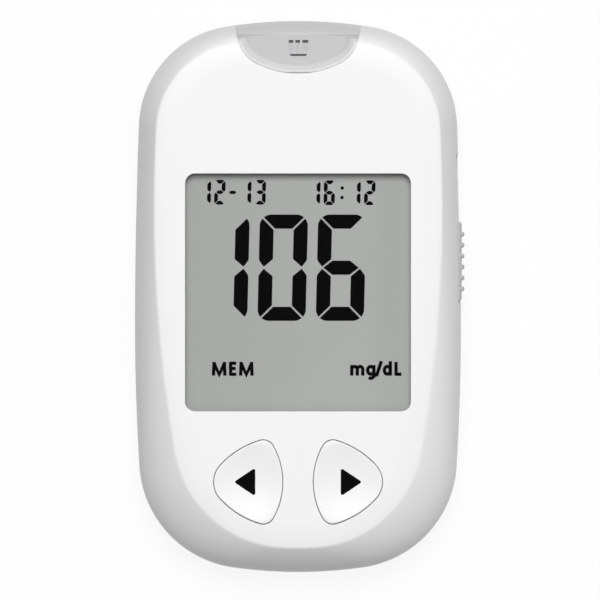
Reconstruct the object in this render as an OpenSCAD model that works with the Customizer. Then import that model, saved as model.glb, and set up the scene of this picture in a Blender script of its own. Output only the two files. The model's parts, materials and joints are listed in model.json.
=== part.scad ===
// Blood glucose meter: two shells around two AAA cells, a segment display, two keys,
// a test strip port at the top end and a strip ejector on the right side.
// It lies on its back: +Z points out of the display, +Y to the strip port, and its feet
// rest on z = 0 with the origin under the middle of the casing.

/* [Casing] */
// Width of the casing
body_w = 56.8; // [54:0.2:70]
// Length of the casing from the lower end to the strip port
body_l = 96; // [94:0.5:118]
// Height of the face above the table
body_h = 22.5; // [22:0.5:28]
// Height of the joint between the two shells
parting_z = 11; // [10:0.5:12]
// Wall thickness of the sides
side_wall = 1.9; // [1.4:0.1:2.2]
// Wall thickness of the face
face_wall = 1.7; // [1.2:0.1:2.2]
// Wall thickness of the back
rear_wall = 1.9; // [1.7:0.1:2.6]
// How far the back's edge is rounded in from the outline
back_inset = 6; // [4:0.5:8]
// Height of the lip that locates the shells
lip_h = 1.2; // [0.8:0.1:2]
// Thickness of the lip that locates the shells
lip_t = 0.8; // [0.6:0.1:1]

/* [Outline] */
// Distance of the widest point below the middle
waist_drop = 5; // [0:0.5:10]
// Radius of the sides above the waist
upper_side_r = 900; // [300:50:1500]
// Radius of the upper corners
upper_corner_r = 18; // [14:0.5:22]
// Radius of the upper end
upper_end_r = 80; // [50:5:150]
// Radius of the sides below the waist
lower_side_r = 400; // [200:50:1500]
// Radius of the lower corners
lower_corner_r = 19; // [14:0.5:22]
// Radius of the lower end
lower_end_r = 80; // [50:5:150]

/* [Face] */
// Width of the rolled band at the sides
side_band = 3.4; // [2.5:0.1:5]
// Width of the rolled band at the upper end
upper_band = 3.2; // [2.5:0.1:6]
// Width of the rolled band at the lower end
lower_band = 4.3; // [2.5:0.1:6]
// Height of the face's widest point above the middle
face_waist_y = 15; // [5:0.5:20]
// Radius of the face's sides above its widest point
face_upper_side_r = 300; // [150:10:600]
// Radius of the face's upper corners
face_upper_corner_r = 15.5; // [12:0.5:20]
// Radius of the face's sides below its widest point
face_lower_side_r = 250; // [150:10:600]
// Radius of the face's lower corners
face_lower_corner_r = 20; // [14:0.5:24]
// Radius of the face's lower end
face_lower_end_r = 50; // [40:5:100]
// How much the face falls towards its crease
face_crown = 0.2; // [0.2:0.1:1]
// Width over which the face falls
crown_w = 4.2; // [3:0.1:5]

/* [Display] */
// Width of the display opening
screen_w = 39.2; // [30:0.2:40]
// Length of the display opening
screen_l = 41.3; // [30:0.2:42]
// Corner radius of the display opening
screen_r = 1.7; // [0.5:0.1:4]
// Middle of the display above the middle of the casing
screen_y = 0.7; // [-2:0.1:3]
// Depth of the window below the face
window_drop = 0.8; // [0.3:0.1:1.2]
// Thickness of the window's flange
window_flange_t = 1; // [0.6:0.1:1.4]
// Width of the window's flange all round
window_flange_w = 1.2; // [0.8:0.1:1.6]
// Thickness of the dust gasket
gasket_t = 0.6; // [0.3:0.1:1]
// Thickness of the two glass plates together
lcd_t = 2; // [1.4:0.1:2.4]
// How far the glass reaches past the opening all round
lcd_margin = 1.4; // [1:0.1:1.6]
// Width of the glass ledge that carries the contacts
lcd_ledge = 2.6; // [2:0.1:3]
// Wall of the frame round the glass
lcd_frame_wall = 1; // [0.6:0.1:1.2]

/* [Keys] */
// Width of a key
key_w = 11.8; // [9:0.1:13]
// Length of a key
key_l = 14.4; // [12:0.1:16]
// Distance of a key's flat side from the middle
key_x = 2.75; // [2:0.05:5]
// Middle of the keys above the middle of the casing
key_y = -32.2; // [-33:0.1:-31]
// Radius of a key's nose
key_nose_r = 4.2; // [3:0.1:5]
// Radius of a key's two tips
key_tip_r = 1.9; // [1.5:0.1:3]
// Radius of the two bowed sides next to the nose
key_side_r = 15; // [12:0.5:30]
// Distance of the tips from the key's flat side
key_tip_x = 3.3; // [2.5:0.1:4]
// Rise of a key's rim above the face
key_rise = 0.15; // [0:0.05:0.6]
// Depth of the dish in a key
key_dish = 0.4; // [0.1:0.05:0.6]
// Radius of the dish in a key
key_dish_r = 60; // [40:5:120]
// Travel of a key
key_travel = 0.5; // [0.2:0.05:0.6]
// Gap round a key
key_gap = 0.2; // [0.1:0.05:0.4]
// Width of a key's flange under the face
key_flange_w = 0.9; // [0.6:0.1:1]

/* [Key switches] */
// Width of a switch body
switch_w = 6; // [4:0.5:6.5]
// Height of a switch body above the board
switch_h = 2.2; // [1.5:0.1:2.6]
// Diameter of a switch plunger
plunger_d = 3.2; // [2:0.1:3.5]
// Height of a plunger above its switch body
plunger_rise = 0.8; // [0.7:0.05:1.2]

/* [Strip port] */
// Width of the port insert
port_w = 21.7; // [18:0.1:24]
// Depth of the port insert in from the upper end
port_d = 9.2; // [7:0.1:10]
// Corner radius of the insert
port_corner_r = 6; // [4:0.5:8]
// Radius of the insert's inner end
port_end_r = 16; // [16:1:40]
// Depth of the dish in the insert below the face
port_dish = 0.7; // [0.5:0.1:1.4]
// Width of the dish's bevel
port_bevel = 1.5; // [0.8:0.1:2]
// Width of the slot for the test strip
strip_w = 8.4; // [6:0.1:10]
// Height of the slot for the test strip
strip_slot_h = 1.3; // [0.8:0.1:1.5]
// Width of the strip connector
connector_w = 12.4; // [11:0.1:16]
// Length of the strip connector
connector_l = 12; // [8:0.5:12]

/* [Strip ejector] */
// Length of the slider plate
slider_l = 13.8; // [10:0.1:16]
// Height of the slider plate
slider_h = 6.2; // [5:0.1:7]
// Thickness of the slider plate
slider_t = 1.2; // [1:0.1:1.6]
// Lower end of the slider plate at rest
slider_y = -0.8; // [-4:0.1:1]
// Middle of the slider above the joint between the shells
slider_lift = 1.2; // [0.9:0.1:1.4]
// How far the slider plate stands proud of the casing
slider_proud = 0.1; // [0:0.05:0.6]
// Height of the slider's ribs
rib_h = 0.5; // [0.3:0.05:0.8]
// Pitch of the slider's ribs
rib_pitch = 1.9; // [1.5:0.1:2.4]
// Number of ribs on the slider
rib_count = 6; // [3:1:6]
// Travel of the slider
slider_travel = 11; // [8:0.5:11]
// Space in the track beyond the slider's travel
track_spare = 0.7; // [0.3:0.1:1]
// Outer diameter of the return spring
spring_d = 3.6; // [3:0.1:4]
// Wire diameter of the return spring
spring_wire = 0.45; // [0.3:0.05:0.5]
// Length of the return spring at rest
spring_l = 16; // [15.5:0.5:17]
// Turns of the return spring
spring_turns = 9; // [6:1:9]

/* [Power] */
// Diameter of an AAA cell
cell_d = 10.5; // [9.5:0.1:10.5]
// Length of an AAA cell with its nub
cell_l = 44.5; // [43:0.1:44.5]
// Gap between the two cells
cell_gap = 0.6; // [0.3:0.1:1]
// Room for a contact at each end of the cells
contact_room = 2.65; // [2.4:0.05:3]
// Thickness of the contact plates
contact_t = 0.4; // [0.3:0.1:0.5]
// Wall of the battery bay
bay_wall = 1.3; // [1:0.1:1.5]
// Thickness of the battery door
door_t = 1.7; // [1.4:0.1:1.7]
// How far the door reaches past the cells at its upper end
door_overlap = 4.9; // [4:0.1:6]
// Travel of the door before its tabs are free
door_travel = 8; // [6:0.5:8]
// Length of a tab on the door
tab_l = 5; // [3:0.5:5]
// Distance from tab to tab
tab_pitch = 14; // [14:0.5:15]

/* [Board and fasteners] */
// Thickness of the circuit board
board_t = 1.2; // [0.8:0.1:1.6]
// Gap between the board's edge and the casing
board_play = 0.6; // [0.3:0.1:1.5]
// Shank diameter of the case screws
screw_d = 2; // [1.6:0.1:2.2]
// Head diameter of the case screws
screw_head_d = 3.8; // [3:0.1:4]
// Distance of the screws in from the sides
screw_inset_x = 10; // [9.5:0.1:10.5]
// Distance of the upper screws in from the end
upper_screw_y = 16; // [15.5:0.1:17]
// Distance of the lower screws in from the end
lower_screw_y = 20; // [19.5:0.1:21]
// Diameter of a rubber foot
foot_d = 6.4; // [5:0.1:7]
// How far the feet stand out of the back
foot_rise = 0.5; // [0.3:0.1:1]
// Depth of a foot's seat in the back
foot_seat = 1; // [0.6:0.1:1.2]

/* [Clearances] */
// Gap between fixed pieces that fit into one another
fit = 0.1; // [0.05:0.05:0.2]
// Gap round a sliding piece
slide_fit = 0.3; // [0.2:0.05:0.4]
// Radial play of a plunger in its switch
plunger_play = 0.05; // [0.02:0.01:0.1]

/* [Hidden] */

$fn = 48;
ring_steps = 20; // ring points in each quarter of an outline
roll_steps = 6; // rings between the parting line and the crease
inner_steps = 4; // the same on the inside of a shell
wire_sides = 6;
turn_steps = 10; // rings in one turn of a spring
past = 1; // how far a cut runs past the surface it opens

// heights, from the table up
back_z = foot_rise;
floor_z = back_z + rear_wall;
cell_floor_gap = 0.4;
cell_z = floor_z + cell_floor_gap + cell_d / 2;
board_gap = 0.7;
board_z = cell_z + cell_d / 2 + board_gap;
board_top = board_z + board_t;
face_under = body_h - face_wall;
crease_z = body_h - face_crown;
gasket_z = face_under - window_flange_t - gasket_t;
lcd_z = gasket_z - lcd_t;
strip_z = board_z - 2.2; // middle of the test strip's slot

// display, in plan
lcd_w = screen_w + 2 * lcd_margin;
lcd_l = screen_l + 2 * lcd_margin;
lcd_plate_t = lcd_t / 2;
frame_w = lcd_w + 2 * (fit + lcd_frame_wall);
frame_l = lcd_l + lcd_ledge + 2 * (fit + lcd_frame_wall);
frame_y = screen_y + lcd_ledge / 2;
frame_shelf = 1.5; // what the frame carries the glass on

// keys
key_tip = [key_tip_x, key_l / 2 - key_tip_r];
key_nose = [key_w - key_nose_r, 0];
key_flange_t = 0.95;
key_flange_drop = 0.05;
key_skin = 1.2; // thickness of the hollow cap
key_under = face_under - key_flange_drop - key_flange_t;
plunger_top = board_top + switch_h + plunger_rise;
plunger_depth = 1.2; // how far a plunger reaches into its switch
key_post_d = 4;
key_post_x = key_x + key_w / 2;

// strip port and connector
port_y = body_l / 2 - port_d;
port_wall_y = body_l / 2 - 3; // inner face of the insert's end wall
port_skin = 1.8;
port_rim = 0.3; // flat rim between the dish and the insert's edge
port_side_r = 1.3 * port_d; // the sides lean in from the end of the casing
port_flange_w = 0.8;
port_flange_l = 3.2;
port_flange_t = 1;
port_open = 3; // how far the outline runs on past the end of the casing
connector_y = port_y - 8.8;
connector_floor = 1;
connector_roof = 0.4;
channel_h = strip_slot_h - 0.1;
contact_count = 5;
contact_pitch = 1.1;
contact_w = 0.6;
leaf_t = 0.2;
leaf_y = connector_y + 1.2; // where a contact leaf starts
leaf_foot = 1.5; // how much of a leaf lies on the roof
leaf_bend = 6.5; // from its start to its lowest point
leaf_l = 8;
leaf_lift = 1; // how far its end stays below the roof
slot_ends = [1, 1.5]; // walls of the housing before and after the leaves

// battery bay, door and contacts
cell_x = (cell_d + cell_gap) / 2;
nub_d = 3.8;
nub_l = 1.2;
bay_w = 2 * cell_d + cell_gap + 1.6; // with 0.8 beside each cell
bay_end_gap = 5.4; // from the lower end of the casing to the bay
bay_low = bay_end_gap - body_l / 2;
bay_l = cell_l + 2 * contact_room;
bay_high = bay_low + bay_l;
cell_low = bay_low + contact_room;
cell_high = cell_low + cell_l;
bay_top = board_z - 0.8; // clear of the board
door_w = bay_w + 3.2; // it covers the bay's rim by 1.6 on each side
door_high = cell_high + door_overlap;
tab_w = 1.2;
tab_t = 0.7;
tab_count = 3;
first_tab_y = bay_low + 10;
track_wall = 1; // beside the tracks
track_roof = 0.9; // how much thicker the floor is over the tracks
grip_count = 5;
grip_pitch = 2;
grip_depth = 0.4;
grip_w = 14;
grip_edge = 4; // from the upper end of the door to the first groove
plate_margin = 1; // from the edge of a contact plate to the bay's side or the cell's rim
contact_spring_r = 3.6;
contact_tip_r = 2.2;
contact_wire = 0.5;
contact_turns = 3;

// ejector
slider_z = parting_z + slider_lift;
slider_out = body_w / 2 + slider_proud;
slider_in = slider_out - slider_t;
pocket_x = slider_in - slide_fit;
pad_x = pocket_x - 1.8; // the wall behind the pocket is this much thicker
pad_h = 5.2;
pad_reach = 1.5; // how far the thick wall runs past the track
rib_setback = 0.8; // from the ends of the ribs to the edges of the plate
neck_h = 2.6;
neck_setback = 1.2; // from the ends of the neck to the ends of the plate
neck_l = slider_l - 2 * neck_setback;
neck_y = slider_y + neck_setback;
neck_high = neck_y + neck_l;
track_low = slider_y - slide_fit;
track_high = slider_y + slider_l + slider_travel + track_spare;
carriage_w = 3.4;
carriage_x = pad_x - slide_fit - carriage_w;
arm_t = 1.2;
arm_l = 2.9;
carriage_top = max(neck_high, bay_high + bay_wall + slide_fit + arm_l); // its arm clears the bay
carriage_high = board_z - slide_fit;
arm_z = strip_z - arm_t;
prong_w = 1;
prong_x = strip_w / 2 - slide_fit - prong_w;
prong_t = 0.8;
prong_gap = 0.5; // how far the prongs reach into the connector
spring_x = carriage_x + carriage_w / 2;
spring_z = slider_z - neck_h / 2 - slide_fit - spring_d / 2;
carriage_low = spring_z - spring_d / 2 + 0.5; // the spring hangs this much below the carriage
spring_end_y = carriage_top + spring_l;
post_t = 1.5;
post_w = spring_d + 0.8;
spigot_l = 2;
spigot_d = spring_d - 3 * spring_wire;
lip_clear = 3; // how far the lip stops short of the track

// screws and feet
upper_screws = [body_w / 2 - screw_inset_x, body_l / 2 - upper_screw_y];
lower_screws = [body_w / 2 - screw_inset_x, lower_screw_y - body_l / 2];
screw_places = [for (place = [upper_screws, lower_screws], side = [-1, 1]) [side * place.x, place.y]];
screw_seat_z = back_z + foot_seat + 2.5; // the head sits this deep over the foot's seat
screw_head_h = 1.4;
screw_tip_z = face_under - 1.8;
screw_blind = 0.6; // how far a screw's bore runs past its tip
recess_l = 2.2; // arms of the cross recess
recess_w = 0.5;
recess_depth = 0.7;
rear_boss_d = 5.8;
front_boss_d = 4.8;
hole_play = 0.15;
thread_play = 0.02;

// shells
lip_inset = 1;
crease_wall = 0.6; // inset of the hollow from the crease

// pieces on the board
chip_w = 9;
chip_t = 1.4;
chip_y = connector_y - 9;
component_gap = 1.5;
capacitor = [1.6, 0.8, 0.8];
capacitor_pitch = 2;
crystal = [2, 6, 1.2];
buzzer_d = 9;
buzzer_t = 3;
buzzer_hole_d = 1.6;
buzzer_place = [14 - body_w / 2, connector_y - 5];

// ---- outlines made of arcs that meet without a kink

// The point at a heading on a circle
function on_circle(centre, r, heading) = centre + r * [cos(heading), sin(heading)];

// Where two circles cross, on the left of the way from the first centre to the second
function circles_cross(c1, r1, c2, r2) =
    let (d = norm(c2 - c1), u = (c2 - c1) / d, along = (r1 * r1 - r2 * r2 + d * d) / (2 * d))
    c1 + along * u + sqrt(r1 * r1 - along * along) * [-u.y, u.x];

function heading_of(v) = atan2(v.y, v.x);

// A quarter outline as a list of [centre, radius, last heading]
function quarter(half_w, length, side_r, corner_r, end_r) =
    let (side = [half_w - side_r, 0],
         end = [0, length - end_r],
         corner = circles_cross(side, side_r - corner_r, end, end_r - corner_r))
    [[side, side_r, heading_of(corner - side)],
     [corner, corner_r, heading_of(corner - end)],
     [end, end_r, 90]];

// The point at a heading on such a list, moved out by grow
function arc_point(arcs, heading, grow) =
    let (arc = [for (a = arcs) if (heading <= a[2] + 0.0001) a][0])
    on_circle(arc[0], arc[1] + grow, heading);

// The point of a whole outline, mirrored left to right, from its upper and lower quarters
function outline_point(outline, heading, grow) =
    let (left = heading > 90,
         right_heading = left ? 180 - heading : heading,
         low = right_heading < 0,
         p = arc_point(low ? outline[2] : outline[1], abs(right_heading), grow))
    [left ? -p.x : p.x, outline[0] + (low ? -p.y : p.y)];

// Each outline is [waist height, upper quarter, lower quarter]
body_outline = [
    -waist_drop,
    quarter(body_w / 2, body_l / 2 + waist_drop, upper_side_r, upper_corner_r, upper_end_r),
    quarter(body_w / 2, body_l / 2 - waist_drop, lower_side_r, lower_corner_r, lower_end_r)
];
face_half_w = body_w / 2 - side_band;
face_up = body_l / 2 - upper_band - face_waist_y;
face_down = body_l / 2 - lower_band + face_waist_y;
face_outline = [
    face_waist_y,
    quarter(face_half_w, face_up, face_upper_side_r, face_upper_corner_r, upper_end_r),
    quarter(face_half_w, face_down, face_lower_side_r, face_lower_corner_r, face_lower_end_r)
];

// Headings round an outline, closer together where it runs nearly straight
function eased(t) = t * t * (3 - 2 * t);
headings = [for (q = [-1 : 2], i = [0 : ring_steps - 1]) 90 * (q + eased(i / ring_steps))];

function flat_outline(outline, grow) = [for (h = headings) outline_point(outline, h, grow)];

// How far the side has rolled over at the crease: least at the lower end, most at the upper
function roll_end(heading) = 32 + 52 * pow(max(0, sin(heading)), 2);

// Where the roll has got to at a turn, drawn in by one inset at the edge and another at the crease
function rolled_point(heading, turn, edge_inset, crease_inset) =
    let (across = (1 - cos(turn)) / (1 - cos(roll_end(heading))),
         edge = outline_point(body_outline, heading, -edge_inset),
         crease = outline_point(face_outline, heading, -crease_inset))
    edge + (crease - edge) * across;

// A ring of the front half at a share of the roll that ends at the height top
function front_ring(share, edge_inset, crease_inset, top) = [
    for (h = headings)
        let (p = rolled_point(h, roll_end(h) * share, edge_inset, crease_inset))
        [p.x, p.y, parting_z + (top - parting_z) * sin(roll_end(h) * share) / sin(roll_end(h))]
];

// The outline of the front half's hollow at a height, drawn in further by play
function hollow_outline(z, play) = [
    for (h = headings)
        let (rise = (z - parting_z) / (crease_z - face_wall - parting_z))
        rolled_point(h, asin(rise * sin(roll_end(h))), side_wall + play, crease_wall + play)
];

// A ring of the rear form at a turn from 90 at the flat back to 0 at the parting line
function rear_ring(turn, inset, lift) =
    let (z = parting_z - (parting_z - back_z - lift) * sin(turn))
    [for (p = flat_outline(body_outline, -inset - back_inset * (1 - cos(turn)))) [p.x, p.y, z]];

function level_ring(outline, grow, z) = [for (p = flat_outline(outline, grow)) [p.x, p.y, z]];

// The crowned face inside the crease
function crown_ring(share) =
    level_ring(face_outline, -crown_w * share, body_h - face_crown * pow(1 - share, 2));

// ---- shapes that several pieces use

// A closed solid through rings that are stacked from the bottom up
module loft(rings) {
    n = len(rings[0]);
    last = (len(rings) - 1) * n;
    sides = [
        for (k = [0 : n : last - n], i = [0 : n - 1])
            let (a = k + i, b = k + (i + 1) % n)
            each [[a, a + n, b + n], [a, b + n, b]]
    ];
    bottom = [for (i = [0 : n - 1]) i];
    top = [for (i = [n - 1 : -1 : 0]) last + i];
    polyhedron([for (ring = rings) each ring], concat([bottom], sides, [top]));
}

// The outside of the front half
module front_form() {
    rolled = [for (i = [0 : roll_steps]) front_ring(i / roll_steps, 0, 0, crease_z)];
    loft(concat(rolled, [crown_ring(0.45), crown_ring(1)]));
}

// The hollow of the front half, which runs past the parting line
module front_hollow() {
    top = crease_z - face_wall;
    rolled = [for (i = [0 : inner_steps]) front_ring(i / inner_steps, side_wall, crease_wall, top)];
    under = level_ring(face_outline, -crease_wall - 1, face_under);
    loft(concat([level_ring(body_outline, -side_wall, parting_z - past)], rolled, [under]));
}

// The outside of the rear half, or a form that is smaller by inset at the sides and lift at the back
module rear_form(inset = 0, lift = 0) {
    loft([for (i = [0 : roll_steps]) rear_ring(90 * (1 - i / roll_steps), inset, lift)]);
}

// The hollow of the rear half, which runs past the parting line
module rear_hollow() {
    rolled = [for (i = [0 : inner_steps]) rear_ring(90 * (1 - i / inner_steps), side_wall, rear_wall)];
    loft(concat(rolled, [level_ring(body_outline, -side_wall, parting_z + past)]));
}

module slab(outline, grow, low, high) {
    translate([0, 0, low]) linear_extrude(high - low) polygon(flat_outline(outline, grow));
}

// A box given by its two corners
module block(low, high) {
    translate(low) cube(high - low);
}

// A block that is mirrored left to right about the middle
module pair_block(low, high) {
    for (side = [0, 1]) mirror([side, 0, 0]) block(low, high);
}

module rounded_plate(size, r, low, high) {
    translate([0, 0, low]) linear_extrude(high - low) {
        square([size.x, size.y - 2 * r], center = true);
        square([size.x - 2 * r, size.y], center = true);
        for (x = [-1, 1], y = [-1, 1])
            translate([x * (size.x / 2 - r), y * (size.y / 2 - r)]) circle(r);
    }
}

module rod(d, low, high) {
    translate([0, 0, low]) cylinder(h = high - low, d = d);
}

// A rod along Y
module y_rod(d, low, high) {
    translate([0, low, 0]) rotate([-90, 0, 0]) cylinder(h = high - low, d = d);
}

// A coil of wire along Y from y = 0 to length, whose radius runs from r1 to r2
module coil(r1, r2, wire, length, turns) {
    steps = turns * turn_steps;
    rings = [
        for (i = [0 : steps])
            let (r = r1 + (r2 - r1) * i / steps, y = wire / 2 + (length - wire) * i / steps)
            [for (k = [0 : wire_sides - 1])
                let (turn = 360 * i / turn_steps,
                     out = r + wire / 2 * cos(360 * k / wire_sides),
                     lift = wire / 2 * sin(360 * k / wire_sides))
                [out * cos(turn), y + lift, out * sin(turn)]]
    ];
    loft(rings);
}

// ---- strip port outline

port_round = min(port_corner_r, port_d - 1.6); // a shallow insert has room for a smaller corner only
port_quarter = quarter(port_w / 2, port_d, port_side_r, port_round, port_end_r);
port_headings = [for (i = [0 : ring_steps]) 90 * eased(i / ring_steps)];

// The D of the port insert, open past the upper end of the casing
function port_points(grow) =
    let (end = [port_w / 2 + grow, -port_open],
         side = concat([end], [for (h = port_headings) arc_point(port_quarter, h, grow)]))
    [for (p = side) [-p.x, body_l / 2 - p.y],
     for (i = [len(side) - 2 : -1 : 0]) [side[i].x, body_l / 2 - side[i].y]];

module port_prism(grow, low, high) {
    translate([0, 0, low]) linear_extrude(high - low) polygon(port_points(grow));
}

// The slot that the test strip slides into
module strip_mouth(low) {
    block([-strip_w / 2, connector_y, low], [strip_w / 2, body_l / 2 + past, strip_z + strip_slot_h / 2]);
}

// ---- key outline

key_side = circles_cross(key_nose, key_side_r - key_nose_r, key_tip, key_side_r - key_tip_r);
key_lean = key_l / 2 - key_tip_r;
key_back_r = (key_tip_x * key_tip_x + key_lean * key_lean - key_tip_r * key_tip_r)
    / (2 * (key_tip_x - key_tip_r));
key_arcs = [
    [key_nose, key_nose_r, heading_of(key_nose - key_side)],
    [key_side, key_side_r, heading_of(key_tip - key_side)],
    [key_tip, key_tip_r, heading_of(key_tip - [key_back_r, 0])],
    [[key_back_r, 0], key_back_r, 180]
];
key_step = 7.5;

// The key on the right, whose nose points to +X
function key_points(grow) = [
    for (h = [-180 + key_step : key_step : 180])
        let (p = arc_point(key_arcs, abs(h), grow))
        [key_x + p.x, key_y + (h < 0 ? -p.y : p.y)]
];

module key_prism(grow, low, high) {
    translate([0, 0, low]) linear_extrude(high - low) polygon(key_points(grow));
}

// ---- casing

module front_shell() {
    color("white") difference() {
        union() {
            difference() {
                front_form();
                front_hollow();
            }
            for (place = screw_places)
                translate(place) rod(front_boss_d, board_top, face_under + face_wall / 2);
            slider_pad(parting_z, slider_z + pad_h / 2);
        }
        translate([0, screen_y])
            rounded_plate([screen_w, screen_l], screen_r, face_under - past, body_h + past);
        for (side = [0, 1])
            mirror([side, 0, 0]) key_prism(key_gap, face_under - past, body_h + past);
        port_prism(fit, parting_z - past, body_h + past);
        lip_ring(lip_inset - fit, lip_inset + lip_t + past, parting_z - past, parting_z + lip_h + fit);
        for (place = screw_places)
            translate(place) rod(screw_d + 2 * thread_play, board_top - past, screw_tip_z + screw_blind);
        slider_cuts();
    }
}

module rear_shell() {
    color("gainsboro") difference() {
        union() {
            difference() {
                rear_form();
                rear_hollow();
            }
            lip_ring(lip_inset, lip_inset + lip_t, parting_z - lip_h, parting_z + lip_h);
            bay_walls();
            for (place = screw_places)
                translate(place) rod(rear_boss_d, back_z + rear_wall / 2, board_z);
            slider_pad(slider_z - pad_h / 2, parting_z);
            spring_post();
        }
        block([-bay_w / 2, bay_low, back_z - past], [bay_w / 2, bay_high, board_z]);
        door_opening();
        for (place = screw_places)
            translate(place) {
                rod(foot_d + 2 * fit, back_z - past, back_z + foot_seat);
                rod(screw_head_d + 4 * hole_play, back_z, screw_seat_z);
                rod(screw_d + 2 * hole_play, screw_seat_z - past, board_z + past);
            }
        slider_cuts();
        strip_mouth(strip_z - strip_slot_h / 2);
    }
}

// The locating lip or its groove between two insets, left out at the port and the ejector's track
module lip_ring(outer, inner, low, high) {
    difference() {
        slab(body_outline, -outer, low, high);
        slab(body_outline, -inner, low - past, high + past);
        port_prism(1, parting_z, high + past);
        block([carriage_x, track_low - lip_clear, parting_z - fit],
              [body_w, track_high + lip_clear, high + past]);
    }
}

// The walls round the cells, and the thicker floor that roofs the door's tracks
module bay_walls() {
    out = bay_w / 2 + bay_wall;
    roof = door_w / 2 + tab_w + track_wall;
    block([-out, bay_low - bay_wall, back_z + rear_wall / 2], [out, bay_high + bay_wall, bay_top]);
    block([-roof, bay_low, back_z + rear_wall / 2], [roof, door_high + track_wall, floor_z + track_roof]);
}

// The opening for the door, the tracks over its tabs and the notches that let them out
module door_opening() {
    half = door_w / 2 + fit;
    ledge_z = back_z + door_t - tab_t - fit;
    outer = door_w / 2 + tab_w + slide_fit;
    last_tab = first_tab_y + (tab_count - 1) * tab_pitch + tab_l;
    block([-half, -body_l, back_z - past], [half, door_high + slide_fit, back_z + door_t + fit]);
    pair_block([half - past, first_tab_y - door_travel - slide_fit, ledge_z],
               [outer, last_tab + slide_fit, back_z + door_t + fit]);
    for (i = [0 : tab_count - 1]) {
        low = first_tab_y + i * tab_pitch - door_travel;
        pair_block([half - past, low - slide_fit, back_z - past],
                   [outer, low + tab_l + slide_fit, ledge_z + 0.1]);
    }
}

// The thick part of the side wall that the ejector's carriage runs against
module slider_pad(low, high) {
    block([pad_x, track_low - pad_reach, low], [pocket_x + 0.1, track_high + pad_reach, high]);
}

// The shallow pocket for the slider plate and the slot for its neck
module slider_cuts() {
    block([pocket_x, track_low, slider_z - slider_h / 2 - slide_fit],
          [body_w, track_high, slider_z + slider_h / 2 + slide_fit]);
    block([carriage_x, neck_y - slide_fit, slider_z - neck_h / 2 - slide_fit / 2],
          [body_w, neck_high + slider_travel + slide_fit, slider_z + neck_h / 2 + slide_fit / 2]);
}

// The post that the return spring pushes on, rooted in the wall, with a spigot that holds the spring
module spring_post() {
    intersection() {
        rear_form(side_wall / 2, rear_wall / 2);
        block([spring_x - post_w / 2, spring_end_y, 0],
              [spring_x + post_w / 2, spring_end_y + post_t, spring_z + spring_d / 2]);
    }
    translate([spring_x, 0, spring_z]) y_rod(spigot_d, spring_end_y - spigot_l, spring_end_y + 0.1);
}

module battery_door() {
    half = door_w / 2;
    top = back_z + door_t;
    color("gainsboro") difference() {
        union() {
            intersection() {
                rear_form();
                block([-half, -body_l, 0], [half, door_high, top]);
            }
            for (i = [0 : tab_count - 1]) {
                low = first_tab_y + i * tab_pitch;
                pair_block([half - past, low, top - tab_t], [half + tab_w, low + tab_l, top]);
            }
        }
        for (i = [0 : grip_count - 1]) {
            y = door_high - grip_edge - i * grip_pitch;
            block([-grip_w / 2, y - grip_pitch / 2, 0], [grip_w / 2, y, back_z + grip_depth]);
        }
    }
}

module display_window() {
    flange = 2 * window_flange_w;
    color("lightgrey", 0.4) translate([0, screen_y]) {
        rounded_plate([screen_w + flange, screen_l + flange], screen_r,
                      face_under - window_flange_t, face_under);
        rounded_plate([screen_w - 2 * fit, screen_l - 2 * fit], screen_r - fit,
                      face_under - window_flange_t / 2, body_h - window_drop);
    }
}

module dust_gasket() {
    flange = 2 * window_flange_w;
    color("dimgrey") translate([0, screen_y]) difference() {
        rounded_plate([screen_w + flange, screen_l + flange], screen_r, gasket_z, gasket_z + gasket_t);
        rounded_plate([screen_w + 4 * fit, screen_l + 4 * fit], screen_r,
                      gasket_z - past, gasket_z + gasket_t + past);
    }
}

// ---- display

module lcd_glass() {
    half_w = lcd_w / 2;
    low = screen_y - lcd_l / 2;
    high = screen_y + lcd_l / 2;
    color("darkgrey") {
        block([-half_w, low, lcd_z], [half_w, high, lcd_z + lcd_plate_t]);
        block([-half_w, low, lcd_z + lcd_plate_t], [half_w, high + lcd_ledge, lcd_z + lcd_t]);
    }
}

// The frame that carries the glass above the board, open where the elastomer strip stands
module lcd_frame() {
    half_w = frame_w / 2;
    low = frame_y - frame_l / 2;
    high = frame_y + frame_l / 2;
    rim = lcd_frame_wall;
    shelf = rim + frame_shelf;
    strip_low = screen_y + lcd_l / 2;
    color("whitesmoke") difference() {
        block([-half_w, low, board_top], [half_w, high, lcd_z + lcd_t]);
        block([rim - half_w, low + rim, lcd_z], [half_w - rim, high - rim, body_h]);
        block([shelf - half_w, low + shelf, 0], [half_w - shelf, strip_low - frame_shelf, body_h]);
        block([shelf - half_w, strip_low, 0], [half_w - shelf, high - rim, body_h]);
    }
}

module elastomer_strip() {
    half = frame_w / 2 - lcd_frame_wall - frame_shelf - fit;
    low = screen_y + lcd_l / 2 + fit;
    color("pink") block([-half, low, board_top], [half, low + lcd_ledge - fit, lcd_z + lcd_plate_t]);
}

// ---- keys and their switches

module key_at_right() {
    rim_z = body_h + key_rise;
    color("white") {
        difference() {
            union() {
                key_prism(0, key_under, rim_z);
                key_prism(key_flange_w, key_under, key_under + key_flange_t);
            }
            translate([key_post_x, key_y, rim_z - key_dish + key_dish_r]) sphere(key_dish_r, $fn = 96);
            key_prism(-key_skin, key_under - past, body_h - key_skin);
        }
        translate([key_post_x, key_y]) rod(key_post_d, plunger_top, body_h - key_skin / 2);
    }
}

module left_key() {
    mirror([1, 0, 0]) key_at_right();
}

module right_key() {
    key_at_right();
}

module plunger_at(side) {
    color("black") translate([side * key_post_x, key_y])
        rod(plunger_d, board_top + switch_h - plunger_depth, plunger_top);
}

module left_plunger() {
    plunger_at(-1);
}

module right_plunger() {
    plunger_at(1);
}

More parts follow.
